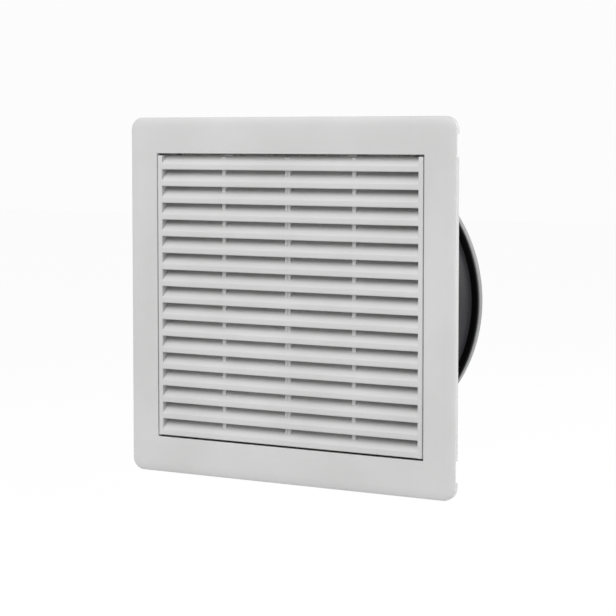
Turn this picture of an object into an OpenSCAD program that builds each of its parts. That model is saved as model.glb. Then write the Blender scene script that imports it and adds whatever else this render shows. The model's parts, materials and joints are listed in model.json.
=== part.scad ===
// Cabinet filter fan: louvred bezel, filter mat and axial fan for a square panel cut-out.
// X runs to the right, Y into the cabinet and Z up. Y = 0 is the outer face of the panel.

/* [Bezel] */
// Outer width and height of the bezel
bezel_size = 204; // [190:1:240]
// Radius of the bezel's corners
bezel_corner_r = 7; // [6.5:0.5:9]
// Depth of the bezel's side wall
rim_depth = 3.4; // [3:0.1:6]
// Wall of the rim
rim_wall = 2; // [1.6:0.1:3]
// Height of the face above the edge of the side wall
face_rise = 1.6; // [1:0.1:3]
// Width of the rounded bevel round the face
bevel_w = 6; // [4:0.5:6]
// Thickness of the bezel's skin
skin = 2.5; // [2:0.1:3.5]
// Length of each notch in the rim
notch_length = 12; // [8:0.5:20]
// Distance of each notch from the end of its side
notch_inset = 9.5; // [8.5:0.5:14]
// Width of the bezel outside the panel's cut-out
bezel_overlap = 13.5; // [11:0.5:18]
// Ledge of the bezel inside the collar at each side of the louvres
side_ledge = 1.8; // [1.5:0.1:4]
// Ledge of the bezel inside the collar above and below the louvres
end_ledge = 4.2; // [3:0.1:6]

/* [Collar] */
// Gap between collar and cut-out on each side
cutout_gap = 0.5; // [0.3:0.1:0.8]
// Wall of the collar
collar_wall = 2.2; // [2:0.1:3]
// Outer radius of the collar's corners
collar_corner_r = 5; // [3:0.5:8]
// Depth of the collar behind the panel's outer face
collar_depth = 13; // [12:0.5:20]
// Side of the square screw posts in the collar's corners
post_side = 9; // [8:0.5:10]

/* [Gasket] */
// Height of the gasket behind the rim
gasket_proud = 0.5; // [0.2:0.1:1]
// Gap between the gasket and the walls of its groove
gasket_gap = 0.5; // [0.2:0.1:1]

/* [Louvre grille] */
// Gap at each side of the grille
side_gap = 0.6; // [0.5:0.1:1]
// Gap above and below the grille
end_gap = 1.2; // [1:0.1:1.6]
// Spacing of the louvres
slat_pitch = 9.55; // [8:0.05:12]
// Height of the upright lip of each louvre
lip_height = 3.3; // [2.8:0.1:4]
// Thickness of that lip
lip_wall = 1.5; // [1.2:0.1:2]
// Thickness of the sloping blade
blade_wall = 1.6; // [1.2:0.1:2]
// Slope of the blades, in degrees
blade_slope = 45; // [42:1:55]
// Height by which each blade passes the lip above it
blade_overlap = 1; // [0:0.1:1.5]
// Radius where the lip turns into the blade
knee_r = 1.6; // [0.5:0.1:2]
// Radius of the lip's lower edge
lip_edge_r = 0.8; // [0.6:0.1:1]
// Width of the side rails
rail_w = 2.75; // [2:0.05:4]
// Spacing of the upright ribs
rib_spacing = 41.1; // [30:0.1:44]
// Width of the outer ribs
rib_w = 2.2; // [1.5:0.1:3.5]
// Width of the grooved middle rib
middle_rib_w = 3.4; // [3:0.1:5]
// Width and depth of the groove in the middle rib
rib_groove = 0.5; // [0.4:0.1:1.2]
// Distance of the ribs behind the lips
rib_recess = 3; // [2.5:0.1:4]
// Distance of the snap tabs from the middle
tab_spacing = 39; // [30:0.5:44]
// Width of the snap tabs at the top
tab_w = 6; // [4:0.5:12]
// Thickness of the snap tabs
tab_wall = 1.8; // [1.2:0.1:2.5]
// Gap between the snap tabs and the opening's edge
tab_gap = 0.4; // [0.35:0.05:0.6]
// Height of the hinge above the grille's lower edge
hinge_height = 3; // [2.6:0.1:3.4]
// Distance of the hinge behind the face
hinge_depth = 2.6; // [2.4:0.1:2.8]
// Radius of the hinge studs
stud_r = 1.4; // [1:0.1:1.5]
// Reach of the studs into the frame
stud_reach = 3; // [2:0.1:3.2]
// Free length past the end of each stud
stud_end_gap = 0.4; // [0.3:0.1:0.6]
// Material round the hinge studs
hinge_boss_wall = 2; // [1.5:0.1:2.5]
// Slant of the rails' rear corners
rail_corner = 4; // [3:0.1:5]
// Radial clearance of running and sliding fits
fit_gap = 0.05; // [0.03:0.01:0.08]

/* [Filter mat] */
// Gap between the grille and the mat
mat_front_gap = 0.8; // [0.6:0.1:1.5]
// Gap between the mat and the fan plate
mat_back_gap = 0.3; // [0.2:0.1:0.6]
// Gap round the edge of the mat
mat_edge_gap = 2.6; // [2.4:0.1:3.5]

/* [Fan plate] */
// Thickness of the fan plate
plate_wall = 2.6; // [2.4:0.1:4]
// Width of the air opening outside the fan's throat
air_border = 2.5; // [1:0.1:3]
// Radius of the grid's middle disc
grid_hub_r = 14; // [8:0.5:20]
// Width of the grid's rings and spokes
grid_bar = 2.2; // [1.6:0.1:3]
// Number of grid rings
grid_rings = 4; // [2:1:6]
// Number of grid spokes
grid_spokes = 8; // [4:1:12]

/* [Fan housing] */
// Width of the fan across its round ends
fan_w = 172; // [160:0.5:180]
// Distance of the fan's flats outside its throat
flat_border = 4.5; // [4:0.1:6]
// Depth of the fan
fan_depth = 55; // [51:0.5:60]
// Drop of the fan's axis below the middle of the bezel
fan_drop = 2; // [0:0.1:4]
// Thickness of the fan's front flange
fan_flange = 3.6; // [3.2:0.1:4.4]
// Thickness of the fan's rear flange
rear_flange = 7; // [5:0.1:8]
// Wall of the fan's barrel
barrel_wall = 3; // [2.4:0.1:3.2]
// Width of the flanges outside the fan screws
flange_border = 5; // [4.5:0.1:6]
// Distance of the fan screws outside the barrel
screw_seat = 7.5; // [7:0.1:9]
// Radius of the inlet's rounding
inlet_r = 4; // [3:0.5:5]
// Distance of the throat's end from the front
throat_end = 20; // [18:0.5:22]
// Distance of the flare's end from the front
flare_end = 33; // [30:0.5:36]
// Width of the rear flange outside the barrel
rear_border = 4; // [2.5:0.1:4.5]
// Widening of the barrel between the flare and the rear flange
rear_draft = 1; // [0.5:0.1:1.5]
// Radius of the screw bosses behind the rear flange
boss_r = 5; // [4.5:0.1:5.5]
// Number of struts
strut_count = 4; // [3:1:6]
// Width of the struts
strut_w = 6; // [4:0.5:8]
// Depth of the struts
strut_depth = 5; // [4:0.5:7]
// Radius of the motor seat
seat_r = 41; // [36:0.5:46]
// Thickness of the motor seat
seat_wall = 3; // [2.4:0.1:4]
// Distance of the motor seat inside the fan's rear
seat_inset = 1; // [0.5:0.1:2]
// Radius of the hole in the motor seat
seat_hole_r = 4; // [3.8:0.1:5]

/* [Motor] */
// Radius of the shaft
shaft_r = 2; // [1.5:0.1:2.5]
// Outer radius of the ball bearings
bearing_r = 6.5; // [6:0.1:7]
// Width of the ball bearings
bearing_w = 5; // [4:0.1:6]
// Outer radius of the bearing tube
tube_r = 8.5; // [8:0.1:9.5]
// Radius of the bearing tube's flange
tube_flange_r = 15; // [14:0.5:18]
// Thickness of the bearing tube's flange
tube_flange = 2.5; // [2:0.1:3]
// Thickness of the preload spring
spring_wall = 1; // [0.6:0.1:1.4]
// Outer radius of the rotor cup
cup_r = 42; // [40:0.5:44]
// Wall of the rotor cup
cup_wall = 2; // [1.5:0.1:2.5]
// Distance of the rotor cup's end from the motor seat
cup_end_gap = 5; // [4:0.1:8]
// Bevel round the rotor cup's front
cup_bevel = 1.5; // [0.5:0.1:1.9]
// Length of the rotor cup's boss
cup_boss_l = 5; // [4:0.1:6]
// Radius of the rotor cup's boss
cup_boss_r = 6; // [5:0.1:7]
// Distance of the rotor cup behind the fan's front
cup_inset = 9; // [8.5:0.5:10]
// Radial thickness of the rotor cage
cage_wall = 5.5; // [4:0.1:6]
// Radial air gap between rotor cage and stator
air_gap = 0.5; // [0.3:0.1:0.8]
// Length of the rotor cage past each end of the laminated stack
cage_end = 2; // [1:0.1:3]
// Distance of the winding heads from the rotor cup
winding_front_gap = 1.5; // [1:0.1:2]
// Distance of the winding heads from the bearing tube's flange
winding_back_gap = 4; // [2:0.1:6]
// Number of winding slots
slot_count = 6; // [4:1:6]
// Radius of the winding slots
slot_r = 7; // [5:0.1:7.2]
// Width of the slots' mouths
slot_mouth = 3; // [2:0.1:4]
// Gap between the windings and the slots' walls
slot_liner = 0.4; // [0.3:0.1:0.8]
// Length of the winding heads
head_length = 5; // [4:0.1:5.5]
// Rounding of the winding heads
head_round = 1.5; // [1:0.1:1.9]
// Inset of the winding heads from the stack's edges
head_inset = 1.5; // [1.2:0.1:2.5]
// Thickness of the insulators on the stack's ends
insulator_wall = 1; // [0.8:0.1:1.5]
// Inset of the insulators from the stack's edge
insulator_inset = 1; // [0.6:0.1:1.5]
// Depth of the bearing shields
shield_depth = 0.4; // [0.2:0.1:0.6]
// Radial thickness of the bearing races
race_wall = 1; // [0.8:0.1:1.2]
// Step that holds each bearing in its tube
bearing_step = 1.2; // [0.8:0.1:1.5]
// Distance of the front bearing inside the tube's end
bearing_inset = 0.5; // [0.3:0.1:1]
// Distance of the rear bearing in front of the tube's flange
rear_bearing_inset = 1; // [0.5:0.1:1.5]
// Gap between the rotor cup's boss and the bearing tube
boss_gap = 1; // [0.5:0.1:1.5]
// Thickness of the retaining ring's groove
ring_wall = 0.8; // [0.6:0.1:1]
// Gap between the rear bearing and the retaining ring's groove
ring_gap = 0.3; // [0.2:0.1:0.4]
// Depth of the retaining ring's groove
groove_depth = 0.4; // [0.3:0.1:0.6]
// Height of the retaining ring above the shaft
ring_height = 1.6; // [1.2:0.1:1.8]
// Length of the shaft behind the rear bearing
shaft_tail = 2.4; // [2:0.1:2.8]
// Chamfer of the shaft's end
shaft_chamfer = 0.4; // [0.2:0.1:0.6]
// Radius of the motor screws
motor_screw_r = 1.2; // [1:0.1:1.4]
// Head radius of the motor screws
motor_head_r = 2.2; // [2:0.1:2.4]

/* [Impeller] */
// Gap between blade tips and throat
tip_gap = 1.5; // [1:0.1:2.5]
// Wall of the hub ring
hub_wall = 2.4; // [2:0.1:3]
// Length of the hub ring
hub_length = 26; // [22:0.5:30]
// Number of fan blades
fan_blades = 7; // [5:1:9]
// Thickness of the fan blades
fan_blade_wall = 1.6; // [1.2:0.1:2]
// Chord of the fan blades
chord = 34; // [26:0.5:36]
// Angle between the fan blades and the plane of rotation
stagger = 34; // [25:1:36]
// Radius of the blades' camber
camber_r = 45; // [40:1:80]
// Forward sweep of the blade tips
tip_sweep = 8; // [0:0.5:12]

/* [Finger guard] */
// Radius of the guard's arm wire
arm_wire_r = 1.3; // [1:0.1:1.6]
// Radius of the guard's ring wire
ring_wire_r = 1; // [0.8:0.1:1.3]
// Number of guard rings
guard_rings = 6; // [3:1:7]
// Radius of the innermost guard ring
guard_inner_r = 22; // [16:0.5:28]
// Gap between the outermost guard ring and the screw heads
guard_gap = 2.1; // [1.5:0.1:4]
// Depth of the welds between the guard's rings and arms
weld_sink = 0.5; // [0.3:0.1:0.8]
// Radius of the guard's screw eyes
eye_r = 5.2; // [4.8:0.1:6]

/* [Fasteners] */
// Radius of the machine screws
screw_r = 2; // [1.8:0.1:2.2]
// Head radius of the machine screws
screw_head_r = 3.9; // [3.6:0.1:4]
// Head height of the machine screws
screw_head_h = 2.3; // [1.8:0.1:2.4]
// Share of a screw head's radius at its top
head_taper = 0.82; // [0.7:0.01:0.95]
// Share of a screw head's radius across its drive slots
drive_length = 1.1; // [0.8:0.05:1.3]
// Share of a screw head's radius in the width and depth of its drive slots
drive_width = 0.3; // [0.2:0.05:0.4]
// Radius of the tapping screws
tapping_r = 1.5; // [1.3:0.1:1.7]
// Head radius of the tapping screws
tapping_head_r = 3.4; // [3:0.1:3.6]
// Free depth under the end of a screw
thread_spare = 1; // [0.5:0.1:2]
// Width across flats of the nuts
nut_flats = 7; // [6.5:0.1:7.2]
// Height of the nuts
nut_h = 3.2; // [2.4:0.1:3.4]
// Length of screw past its nut
screw_tip = 1.5; // [0.5:0.1:3]
// Depth of the threaded holes
thread_depth = 7; // [6:0.5:8]

/* [Terminals] */
// Size of the terminal block along the fan's depth
block_depth = 12; // [10:0.5:13]
// Height of the terminal block
block_h = 18; // [16:0.5:22]
// Width of the terminal block
block_w = 7; // [5:0.5:8]
// Width of the terminal blades
blade_tab_w = 2.8; // [2:0.1:3.2]
// Thickness of the terminal blades
blade_tab_t = 0.8; // [0.5:0.1:1]
// Length of the terminal blades outside the block
blade_tab_l = 8; // [6:0.5:9]
// Length of the terminal blades inside the block
blade_root_l = 6; // [4:0.5:7]
// Spacing of the terminal blades
blade_tab_spacing = 5.3; // [4:0.1:6]
// Distance of the terminals' pad outside the barrel
pad_height = 1.5; // [1:0.1:2.5]
// Distance of the terminal block behind the front flange
pad_inset = 1; // [0.5:0.1:2]

/* [Spring clips] */
// Height of the clips above and below the middle
clip_z = 45; // [30:1:55]
// Width of the clips
clip_w = 14; // [10:0.5:18]
// Thickness of the clips' strip
clip_wall = 0.6; // [0.5:0.1:0.8]
// Radius of the clips' rolled bead
bead_r = 1.3; // [1.2:0.1:1.4]
// Distance of the bead behind the panel's outer face
bead_depth = 9.6; // [9.2:0.1:10]
// Reach of the clips past the cut-out
clip_reach = 1.5; // [1:0.1:1.8]
// Depth of the recess behind each clip
clip_recess = 0.8; // [0.7:0.1:1]
// Distance of the clips' tip behind the panel's outer face
clip_tip_depth = 2.3; // [1.8:0.1:2.6]
// Length of the clips' nose along the panel's depth
nose_length = 1.9; // [1.6:0.1:2.2]
// Distance of the bead's axis from the collar's inner face
bead_offset = 0.5; // [0.4:0.1:0.8]
// Gap beside each clip
clip_side_gap = 0.5; // [0.3:0.1:1]
// Wall of the sockets round the beads
socket_wall = 1.2; // [1:0.1:1.3]
// Opening of the sockets towards the strips
socket_mouth = 1.9; // [1.7:0.1:2.1]
// Distance of that opening in front of the bead's axis
mouth_shift = 0.4; // [0.3:0.1:0.5]
// Length of the recess past each end of the clip
recess_margin = 1.4; // [1.2:0.1:1.6]
// Length of the window behind the clips' nose
window_margin = 2.4; // [2:0.1:2.6]

/* [Hidden] */
$fn = 64;
// Overshoot of a cut past the faces that it opens
cut = 1;
// Points on each rounded corner of an outline
corner_steps = 8;
// Steps across a rounded edge
edge_steps = 5;
// Overlap of shapes that are fused
fuse = 0.1;

light_grey = [0.80, 0.80, 0.80];
fan_black = [0.10, 0.10, 0.11];
steel = [0.62, 0.63, 0.65];
foam_grey = [0.16, 0.16, 0.17];
fleece_white = [0.90, 0.90, 0.88];
copper = [0.72, 0.40, 0.20];
brass = [0.80, 0.65, 0.30];

// Depths from the panel's outer face
rim_back = -gasket_proud;
rim_front = rim_back - rim_depth;
face_y = rim_front - face_rise;
skin_back = face_y + skin;
plate_front = collar_depth;
fan_front = plate_front + plate_wall;
fan_rear = fan_front + fan_depth;

// Bezel and collar
cutout = bezel_size - 2 * bezel_overlap;
collar_size = cutout - 2 * cutout_gap;
collar_inner = collar_size - 2 * collar_wall;
opening_w = collar_inner - 2 * side_ledge;
opening_h = collar_inner - 2 * end_ledge;
post_at = collar_inner / 2 - post_side / 2;

// Grille
grille_w = opening_w - 2 * side_gap;
grille_h = opening_h - 2 * end_gap;
grille_bottom = -grille_h / 2;
slat_count = floor((grille_h - lip_height) / slat_pitch) + 1;
blade_run = (slat_pitch + blade_overlap - lip_height) / tan(blade_slope);
grille_depth = blade_run + blade_wall * sin(blade_slope);
top_lip = grille_bottom + (slat_count - 1) * slat_pitch + lip_height;
top_rise = min(grille_h / 2 - top_lip, blade_run * tan(blade_slope));
tab_bottom = top_lip + top_rise - blade_wall / 4;
hinge_y = face_y + hinge_depth;
hinge_z = grille_bottom + hinge_height;
hinge_boss = stud_r + hinge_boss_wall;
mat_front = face_y + grille_depth + mat_front_gap;
mat_back = plate_front - mat_back_gap;

// Fan housing
fan_r = fan_w / 2;
fan_screw_circle = fan_r - flange_border;
throat_r = fan_screw_circle - screw_seat - barrel_wall;
fan_h = 2 * (throat_r + flat_border);
rear_r = fan_r - rear_border;
flare_r = rear_r - rear_draft;
air_r = throat_r + air_border;
throat_y = fan_front + throat_end;
flare_y = fan_front + flare_end;
front_flange_back = fan_front + fan_flange;
rear_flange_front = fan_rear - rear_flange;
seat_back = fan_rear - seat_inset;
seat_front = seat_back - seat_wall;

// Motor
cup_front = fan_front + cup_inset;
cup_back = seat_front - cup_end_gap;
tube_back = seat_front;
tube_front = cup_front + cup_boss_l + boss_gap;
front_bearing_y = tube_front + bearing_inset;
rear_bearing_back = tube_back - tube_flange - rear_bearing_inset;
rear_bearing_y = rear_bearing_back - bearing_w;
tube_land_r = bearing_r - bearing_step;
cage_outer_r = cup_r - cup_wall - fit_gap;
cage_inner_r = cage_outer_r - cage_wall;
stator_r = cage_inner_r - air_gap;
stack_front = cup_front + cup_wall + winding_front_gap + head_length + insulator_wall;
stack_back = tube_back - tube_flange - winding_back_gap - head_length - insulator_wall;
slot_circle = (tube_r + stator_r) / 2;
shaft_back = rear_bearing_back + shaft_tail;
ring_y = rear_bearing_back + ring_gap;
groove_r = shaft_r - groove_depth;
motor_screw_circle = (tube_r + tube_flange_r) / 2;

// Impeller
tip_r = throat_r - tip_gap;
hub_inner_r = cup_r + fit_gap;
hub_r = hub_inner_r + hub_wall;
blade_root_r = hub_r + fit_gap;
blade_middle = cup_front + hub_length / 2;

// Finger guard
guard_outer_r = fan_screw_circle - screw_head_r - ring_wire_r - guard_gap;
guard_arm_y = fan_rear + arm_wire_r;
guard_back = fan_rear + 2 * arm_wire_r;
guard_ring_y = guard_back + ring_wire_r - weld_sink;

// Terminals, on a pad at the left of the barrel
pad_x = -(throat_r + barrel_wall + pad_height);
pad_y = front_flange_back + pad_inset;
earth_z = -fan_drop - block_h / 2 - screw_head_r;
block_x = pad_x - block_w;

// Clips
clip_bead_x = collar_inner / 2 + bead_offset;
clip_nose_x = cutout / 2 + clip_reach;
clip_nose_y = clip_tip_depth + nose_length;
clip_pocket_w = clip_w + 2 * clip_side_gap;
// Front and rear ends of the recess and of the window in it
recess_front = clip_tip_depth - recess_margin;
recess_back = bead_depth + recess_margin;
window_back = clip_nose_y + window_margin;

// Shared shapes

function quarter(r, steps, from) = [for (i = [0:steps])
  r * [cos(from + 90 * i / steps), sin(from + 90 * i / steps)]];

function rounded_outline(w, h, r) = [for (q = [0:3], p = quarter(r, corner_steps, 90 * q))
  [(q == 0 || q == 3 ? 1 : -1) * (w / 2 - r), (q < 2 ? 1 : -1) * (h / 2 - r)] + p];

// Extrudes an outline drawn in X and Z from one depth to another
module slab(y0, y1) {
  translate([0, y1, 0]) rotate([90, 0, 0]) linear_extrude(y1 - y0) children();
}

// Extrudes an outline drawn in Y and Z along X, centred
module bar(length) {
  rotate([90, 0, 90]) linear_extrude(length, center = true) children();
}

// Puts what is drawn along +Z on the fan's axis, with Z as depth
module on_fan_axis() {
  translate([0, 0, -fan_drop]) rotate([-90, 0, 0]) children();
}

// Turns a profile of radius and depth about the fan's axis
module turned() {
  on_fan_axis() rotate_extrude() children();
}

module ring(r0, r1, y0, y1) {
  turned() translate([r0, y0]) square([r1 - r0, y1 - y0]);
}

module rod(x, z, r, y0, y1) {
  translate([x, y1, z]) rotate([90, 0, 0]) cylinder(r = r, h = y1 - y0);
}

// Repeats a child at the four fan screws
module at_fan_screws() {
  for (a = [45:90:315])
    translate([fan_screw_circle * cos(a), 0, fan_screw_circle * sin(a) - fan_drop]) children();
}

module at_motor_screws() {
  for (a = [0, 120, 240])
    translate([motor_screw_circle * cos(a), 0, motor_screw_circle * sin(a) - fan_drop]) children();
}

module at_posts() {
  for (x = [-1, 1], z = [-1, 1]) translate([x * post_at, 0, z * post_at]) children();
}

// Closed solid through rings of points, each drawn in X and Z at its own depth
module loft(outlines, depths) {
  n = len(outlines[0]);
  last = len(outlines) - 1;
  points = [for (k = [0:last], p = outlines[k]) [p[0], depths[k], p[1]]];
  sides = [for (k = [0:last - 1], i = [0:n - 1])
    [k * n + i, k * n + (i + 1) % n, (k + 1) * n + (i + 1) % n, (k + 1) * n + i]];
  ends = [[for (i = [n - 1:-1:0]) i], [for (i = [0:n - 1]) last * n + i]];
  polyhedron(points, concat(sides, ends), convexity = 4);
}

// Bezel and collar

// Bezel's outside, rolled off from the face to the side walls
module bezel_block() {
  turn = [for (i = [0:edge_steps]) 90 * i / edge_steps];
  insets = concat([for (a = turn) bevel_w * (1 - sin(a))], [0]);
  depths = concat([for (a = turn) rim_front - face_rise * cos(a)], [rim_back]);
  outlines = [for (u = insets)
    rounded_outline(bezel_size - 2 * u, bezel_size - 2 * u, bezel_corner_r - u)];
  loft(outlines, depths);
}

module rim_notches() {
  from = bezel_size / 2 - notch_inset - notch_length;
  for (x = [-1, 1], z = [-1, 1])
    translate([x * bezel_size / 2, (skin_back + rim_back + cut) / 2, z * (from + notch_length / 2)])
      cube([2 * rim_wall + cut, rim_back + cut - skin_back, notch_length], center = true);
}

module clip_socket_block() {
  inner = clip_bead_x - bead_r - fit_gap - socket_wall;
  for (side = [0, 1], z = [-clip_z, clip_z]) mirror([side, 0, 0])
    translate([inner, bead_depth - bead_r - socket_wall, z - clip_pocket_w / 2 - socket_wall])
      cube([collar_inner / 2 + cut - inner, 2 * (bead_r + socket_wall),
        clip_pocket_w + 2 * socket_wall]);
}

module clip_socket_cut() {
  wall = collar_size / 2;
  for (x = [-1, 1], z = [-clip_z, clip_z]) {
    translate([x * clip_bead_x, bead_depth, z])
      cylinder(r = bead_r + fit_gap, h = clip_pocket_w, center = true);
    translate([x * (clip_bead_x + wall) / 2, bead_depth - mouth_shift, z])
      cube([wall - clip_bead_x + cut, socket_mouth, clip_pocket_w], center = true);
    translate([x * wall, (recess_front + recess_back) / 2, z])
      cube([2 * clip_recess, recess_back - recess_front, clip_pocket_w], center = true);
    translate([x * wall, (recess_front + window_back) / 2, z])
      cube([2 * collar_wall + cut, window_back - recess_front, clip_pocket_w], center = true);
  }
}

module front_frame() {
  color(light_grey) difference() {
    union() {
      difference() {
        bezel_block();
        slab(skin_back, rim_back + cut)
          polygon(rounded_outline(bezel_size - 2 * rim_wall, bezel_size - 2 * rim_wall,
            bezel_corner_r - rim_wall));
      }
      slab(skin_back - skin / 2, collar_depth)
        polygon(rounded_outline(collar_size, collar_size, collar_corner_r));
    }
    difference() {
      slab(skin_back, collar_depth + cut) square(collar_inner, center = true);
      at_posts() translate([0, (mat_front + collar_depth) / 2, 0])
        cube([post_side + 2 * fuse, collar_depth - mat_front, post_side + 2 * fuse], center = true);
      for (x = [-1, 1])
        translate([x * (opening_w / 2 + collar_wall), hinge_y, hinge_z])
          cube([2 * collar_wall, 2 * hinge_boss, 2 * hinge_boss], center = true);
      clip_socket_block();
    }
    slab(face_y - cut, skin_back + cut) square([opening_w, opening_h], center = true);
    rim_notches();
    translate([0, hinge_y, hinge_z]) rotate([0, 90, 0])
      cylinder(r = stud_r + fit_gap, h = opening_w + 2 * (stud_reach + stud_end_gap), center = true);
    at_posts() rod(0, 0, tapping_r + fit_gap, collar_depth - thread_depth, collar_depth + cut);
    clip_socket_cut();
  }
}

module panel_gasket() {
  outer = bezel_size - 2 * rim_wall - 2 * gasket_gap;
  inner = collar_size + 2 * gasket_gap;
  color(foam_grey) difference() {
    slab(skin_back, 0) polygon(rounded_outline(outer, outer, bezel_corner_r - rim_wall));
    slab(skin_back - cut, cut) polygon(rounded_outline(inner, inner, collar_corner_r));
  }
}

// Louvre grille

// Section of one louvre, with the lip's lower front edge at the origin
module slat_section() {
  turn = 90 - blade_slope;
  tangent = knee_r * tan(turn / 2);
  knee = [for (i = [0:edge_steps]) [knee_r, lip_height - tangent]
    + knee_r * [-cos(turn * i / edge_steps), sin(turn * i / edge_steps)]];
  edge = [for (p = quarter(lip_edge_r, edge_steps, 180)) [lip_edge_r, lip_edge_r] + p];
  rise = tan(blade_slope);
  under = lip_height + lip_wall * rise - blade_wall / cos(blade_slope);
  end = [blade_run, lip_height + blade_run * rise];
  across = blade_wall * [sin(blade_slope), -cos(blade_slope)];
  polygon(concat(
    [for (i = [edge_steps:-1:0]) knee[i]],
    edge,
    [[lip_wall, 0], [lip_wall, under], end + across, end]));
}

// Side view of a rail, with the grille's lower front edge at the origin
module rail_section() {
  edge = [for (p = quarter(lip_edge_r, edge_steps, 180)) [lip_edge_r, lip_edge_r] + p];
  polygon(concat([[0, grille_h]], edge, [[grille_depth - rail_corner, 0], [grille_depth, rail_corner],
    [grille_depth, grille_h - rail_corner], [grille_depth - rail_corner, grille_h]]));
}

// Side view of a rib, which lies behind the lips and within the blades' depth
module rib_section() {
  polygon([[rib_recess, lip_edge_r], [grille_depth - rail_corner, lip_edge_r],
    [grille_depth - blade_wall, rail_corner], [grille_depth - blade_wall, grille_h - rail_corner],
    [rib_recess + lip_wall, grille_h - lip_edge_r], [rib_recess, grille_h - lip_edge_r]]);
}

module louvre_grille() {
  slat_w = grille_w - rail_w;
  color(light_grey) union() {
    intersection() {
      translate([0, face_y, grille_bottom]) for (k = [0:slat_count - 1])
        translate([0, 0, k * slat_pitch]) bar(slat_w) slat_section();
      slab(face_y - cut, face_y + grille_depth + cut) square([grille_w, grille_h], center = true);
    }
    translate([0, face_y, grille_bottom]) {
      for (x = [-1, 1]) translate([x * (grille_w - rail_w) / 2, 0, 0]) bar(rail_w) rail_section();
      for (x = [-1, 1]) translate([x * rib_spacing, 0, 0]) bar(rib_w) rib_section();
      difference() {
        bar(middle_rib_w) rib_section();
        translate([0, rib_recess, grille_h / 2])
          cube([rib_groove, 2 * rib_groove, grille_h], center = true);
      }
    }
    for (x = [-1, 1])
      translate([x * tab_spacing - tab_w / 2, face_y + top_rise / tan(blade_slope), tab_bottom])
        cube([tab_w, tab_wall, opening_h / 2 - tab_gap - tab_bottom]);
    translate([0, hinge_y, hinge_z]) for (x = [-1, 1]) rotate([0, 90 * x, 0])
      translate([0, 0, grille_w / 2 - rail_w / 2])
        cylinder(r = stud_r, h = rail_w / 2 + side_gap + stud_reach);
  }
}

// Filter mat and fan plate

module filter_mat() {
  side = collar_inner - 2 * mat_edge_gap;
  corner = post_side + mat_edge_gap;
  color(fleece_white) difference() {
    slab(mat_front, mat_back) square(side, center = true);
    slab(mat_front - cut, mat_back + cut) for (x = [-1, 1], z = [-1, 1])
      translate([x * collar_inner / 2, z * collar_inner / 2]) square(2 * corner, center = true);
  }
}

module fan_plate() {
  step = (air_r - grid_hub_r) / (grid_rings + 1);
  color(light_grey) difference() {
    union() {
      difference() {
        slab(plate_front, fan_front)
          polygon(rounded_outline(collar_size, collar_size, collar_corner_r));
        ring(0, air_r, plate_front - cut, fan_front + cut);
      }
      ring(0, grid_hub_r, plate_front, fan_front);
      for (i = [1:grid_rings])
        ring(grid_hub_r + i * step - grid_bar / 2, grid_hub_r + i * step + grid_bar / 2,
          plate_front, fan_front);
      for (i = [0:grid_spokes - 1])
        on_fan_axis() rotate(360 * (i + 0.5) / grid_spokes)
          translate([grid_hub_r - grid_bar / 2, -grid_bar / 2, plate_front])
            cube([air_r - grid_hub_r + grid_bar, grid_bar, plate_wall]);
    }
    at_fan_screws() countersunk_form(fit_gap);
    at_posts() rod(0, 0, screw_r, plate_front - cut, fan_front + cut);
  }
}

// Countersunk screw along Y with its head in the plate, grown by a clearance
module countersunk_form(gap, end = fan_front + fan_flange + nut_h + screw_tip) {
  sink = screw_head_r - screw_r;
  translate([0, plate_front, 0]) rotate([-90, 0, 0]) {
    cylinder(r = screw_r + gap, h = end - plate_front);
    translate([0, 0, -gap]) cylinder(r1 = screw_head_r + 2 * gap, r2 = screw_r + gap, h = sink + gap);
  }
}

// Pan-head screw along Y with the underside of its head at a depth, driven from behind
module pan_screw(head_y, r, head_r, head_h, length) {
  difference() {
    union() {
      rod(0, 0, r, head_y - length, head_y + head_h / 2);
      translate([0, head_y, 0]) rotate([-90, 0, 0])
        cylinder(r1 = head_r, r2 = head_r * head_taper, h = head_h);
    }
    for (a = [0, 90]) translate([0, head_y + head_h, 0]) rotate([0, a, 0])
      cube([head_r * drive_length, head_h, head_r * drive_width], center = true);
  }
}

module plate_screws() {
  length = plate_wall + thread_depth - thread_spare;
  color(steel) at_posts() pan_screw(fan_front, tapping_r, tapping_head_r, screw_head_h, length);
}

module fan_screws() {
  slot = screw_head_r * drive_width;
  color(steel) at_fan_screws() difference() {
    countersunk_form(0);
    for (a = [0, 90]) translate([0, plate_front, 0]) rotate([0, a, 0])
      cube([screw_head_r * drive_length, 2 * slot, slot], center = true);
  }
}

module fan_nuts() {
  color(steel) at_fan_screws() difference() {
    translate([0, front_flange_back, 0]) rotate([-90, 0, 0])
      cylinder(d = nut_flats / cos(30), h = nut_h, $fn = 6);
    rod(0, 0, screw_r + fit_gap, front_flange_back - cut, front_flange_back + nut_h + cut);
  }
}

// Fan housing

// Outside of the barrel from the front flange to the rear, as radius and depth
function barrel_line(out) = concat(
  [for (i = [0:2 * edge_steps]) let (t = i / (2 * edge_steps), s = (1 - cos(180 * t)) / 2)
    [throat_r + out + (flare_r - barrel_wall - throat_r) * s, throat_y + (flare_y - throat_y) * t]]);

module fan_block() {
  intersection() {
    turned() polygon(concat([[0, fan_front], [fan_r, fan_front], [fan_r, front_flange_back],
      [throat_r + barrel_wall, front_flange_back]], barrel_line(barrel_wall),
      [[rear_r, rear_flange_front], [fan_r, rear_flange_front], [fan_r, fan_rear], [0, fan_rear]]));
    translate([-fan_r - cut, fan_front - cut, -fan_drop - fan_h / 2])
      cube([fan_w + 2 * cut, fan_depth + 2 * cut, fan_h]);
  }
}

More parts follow.
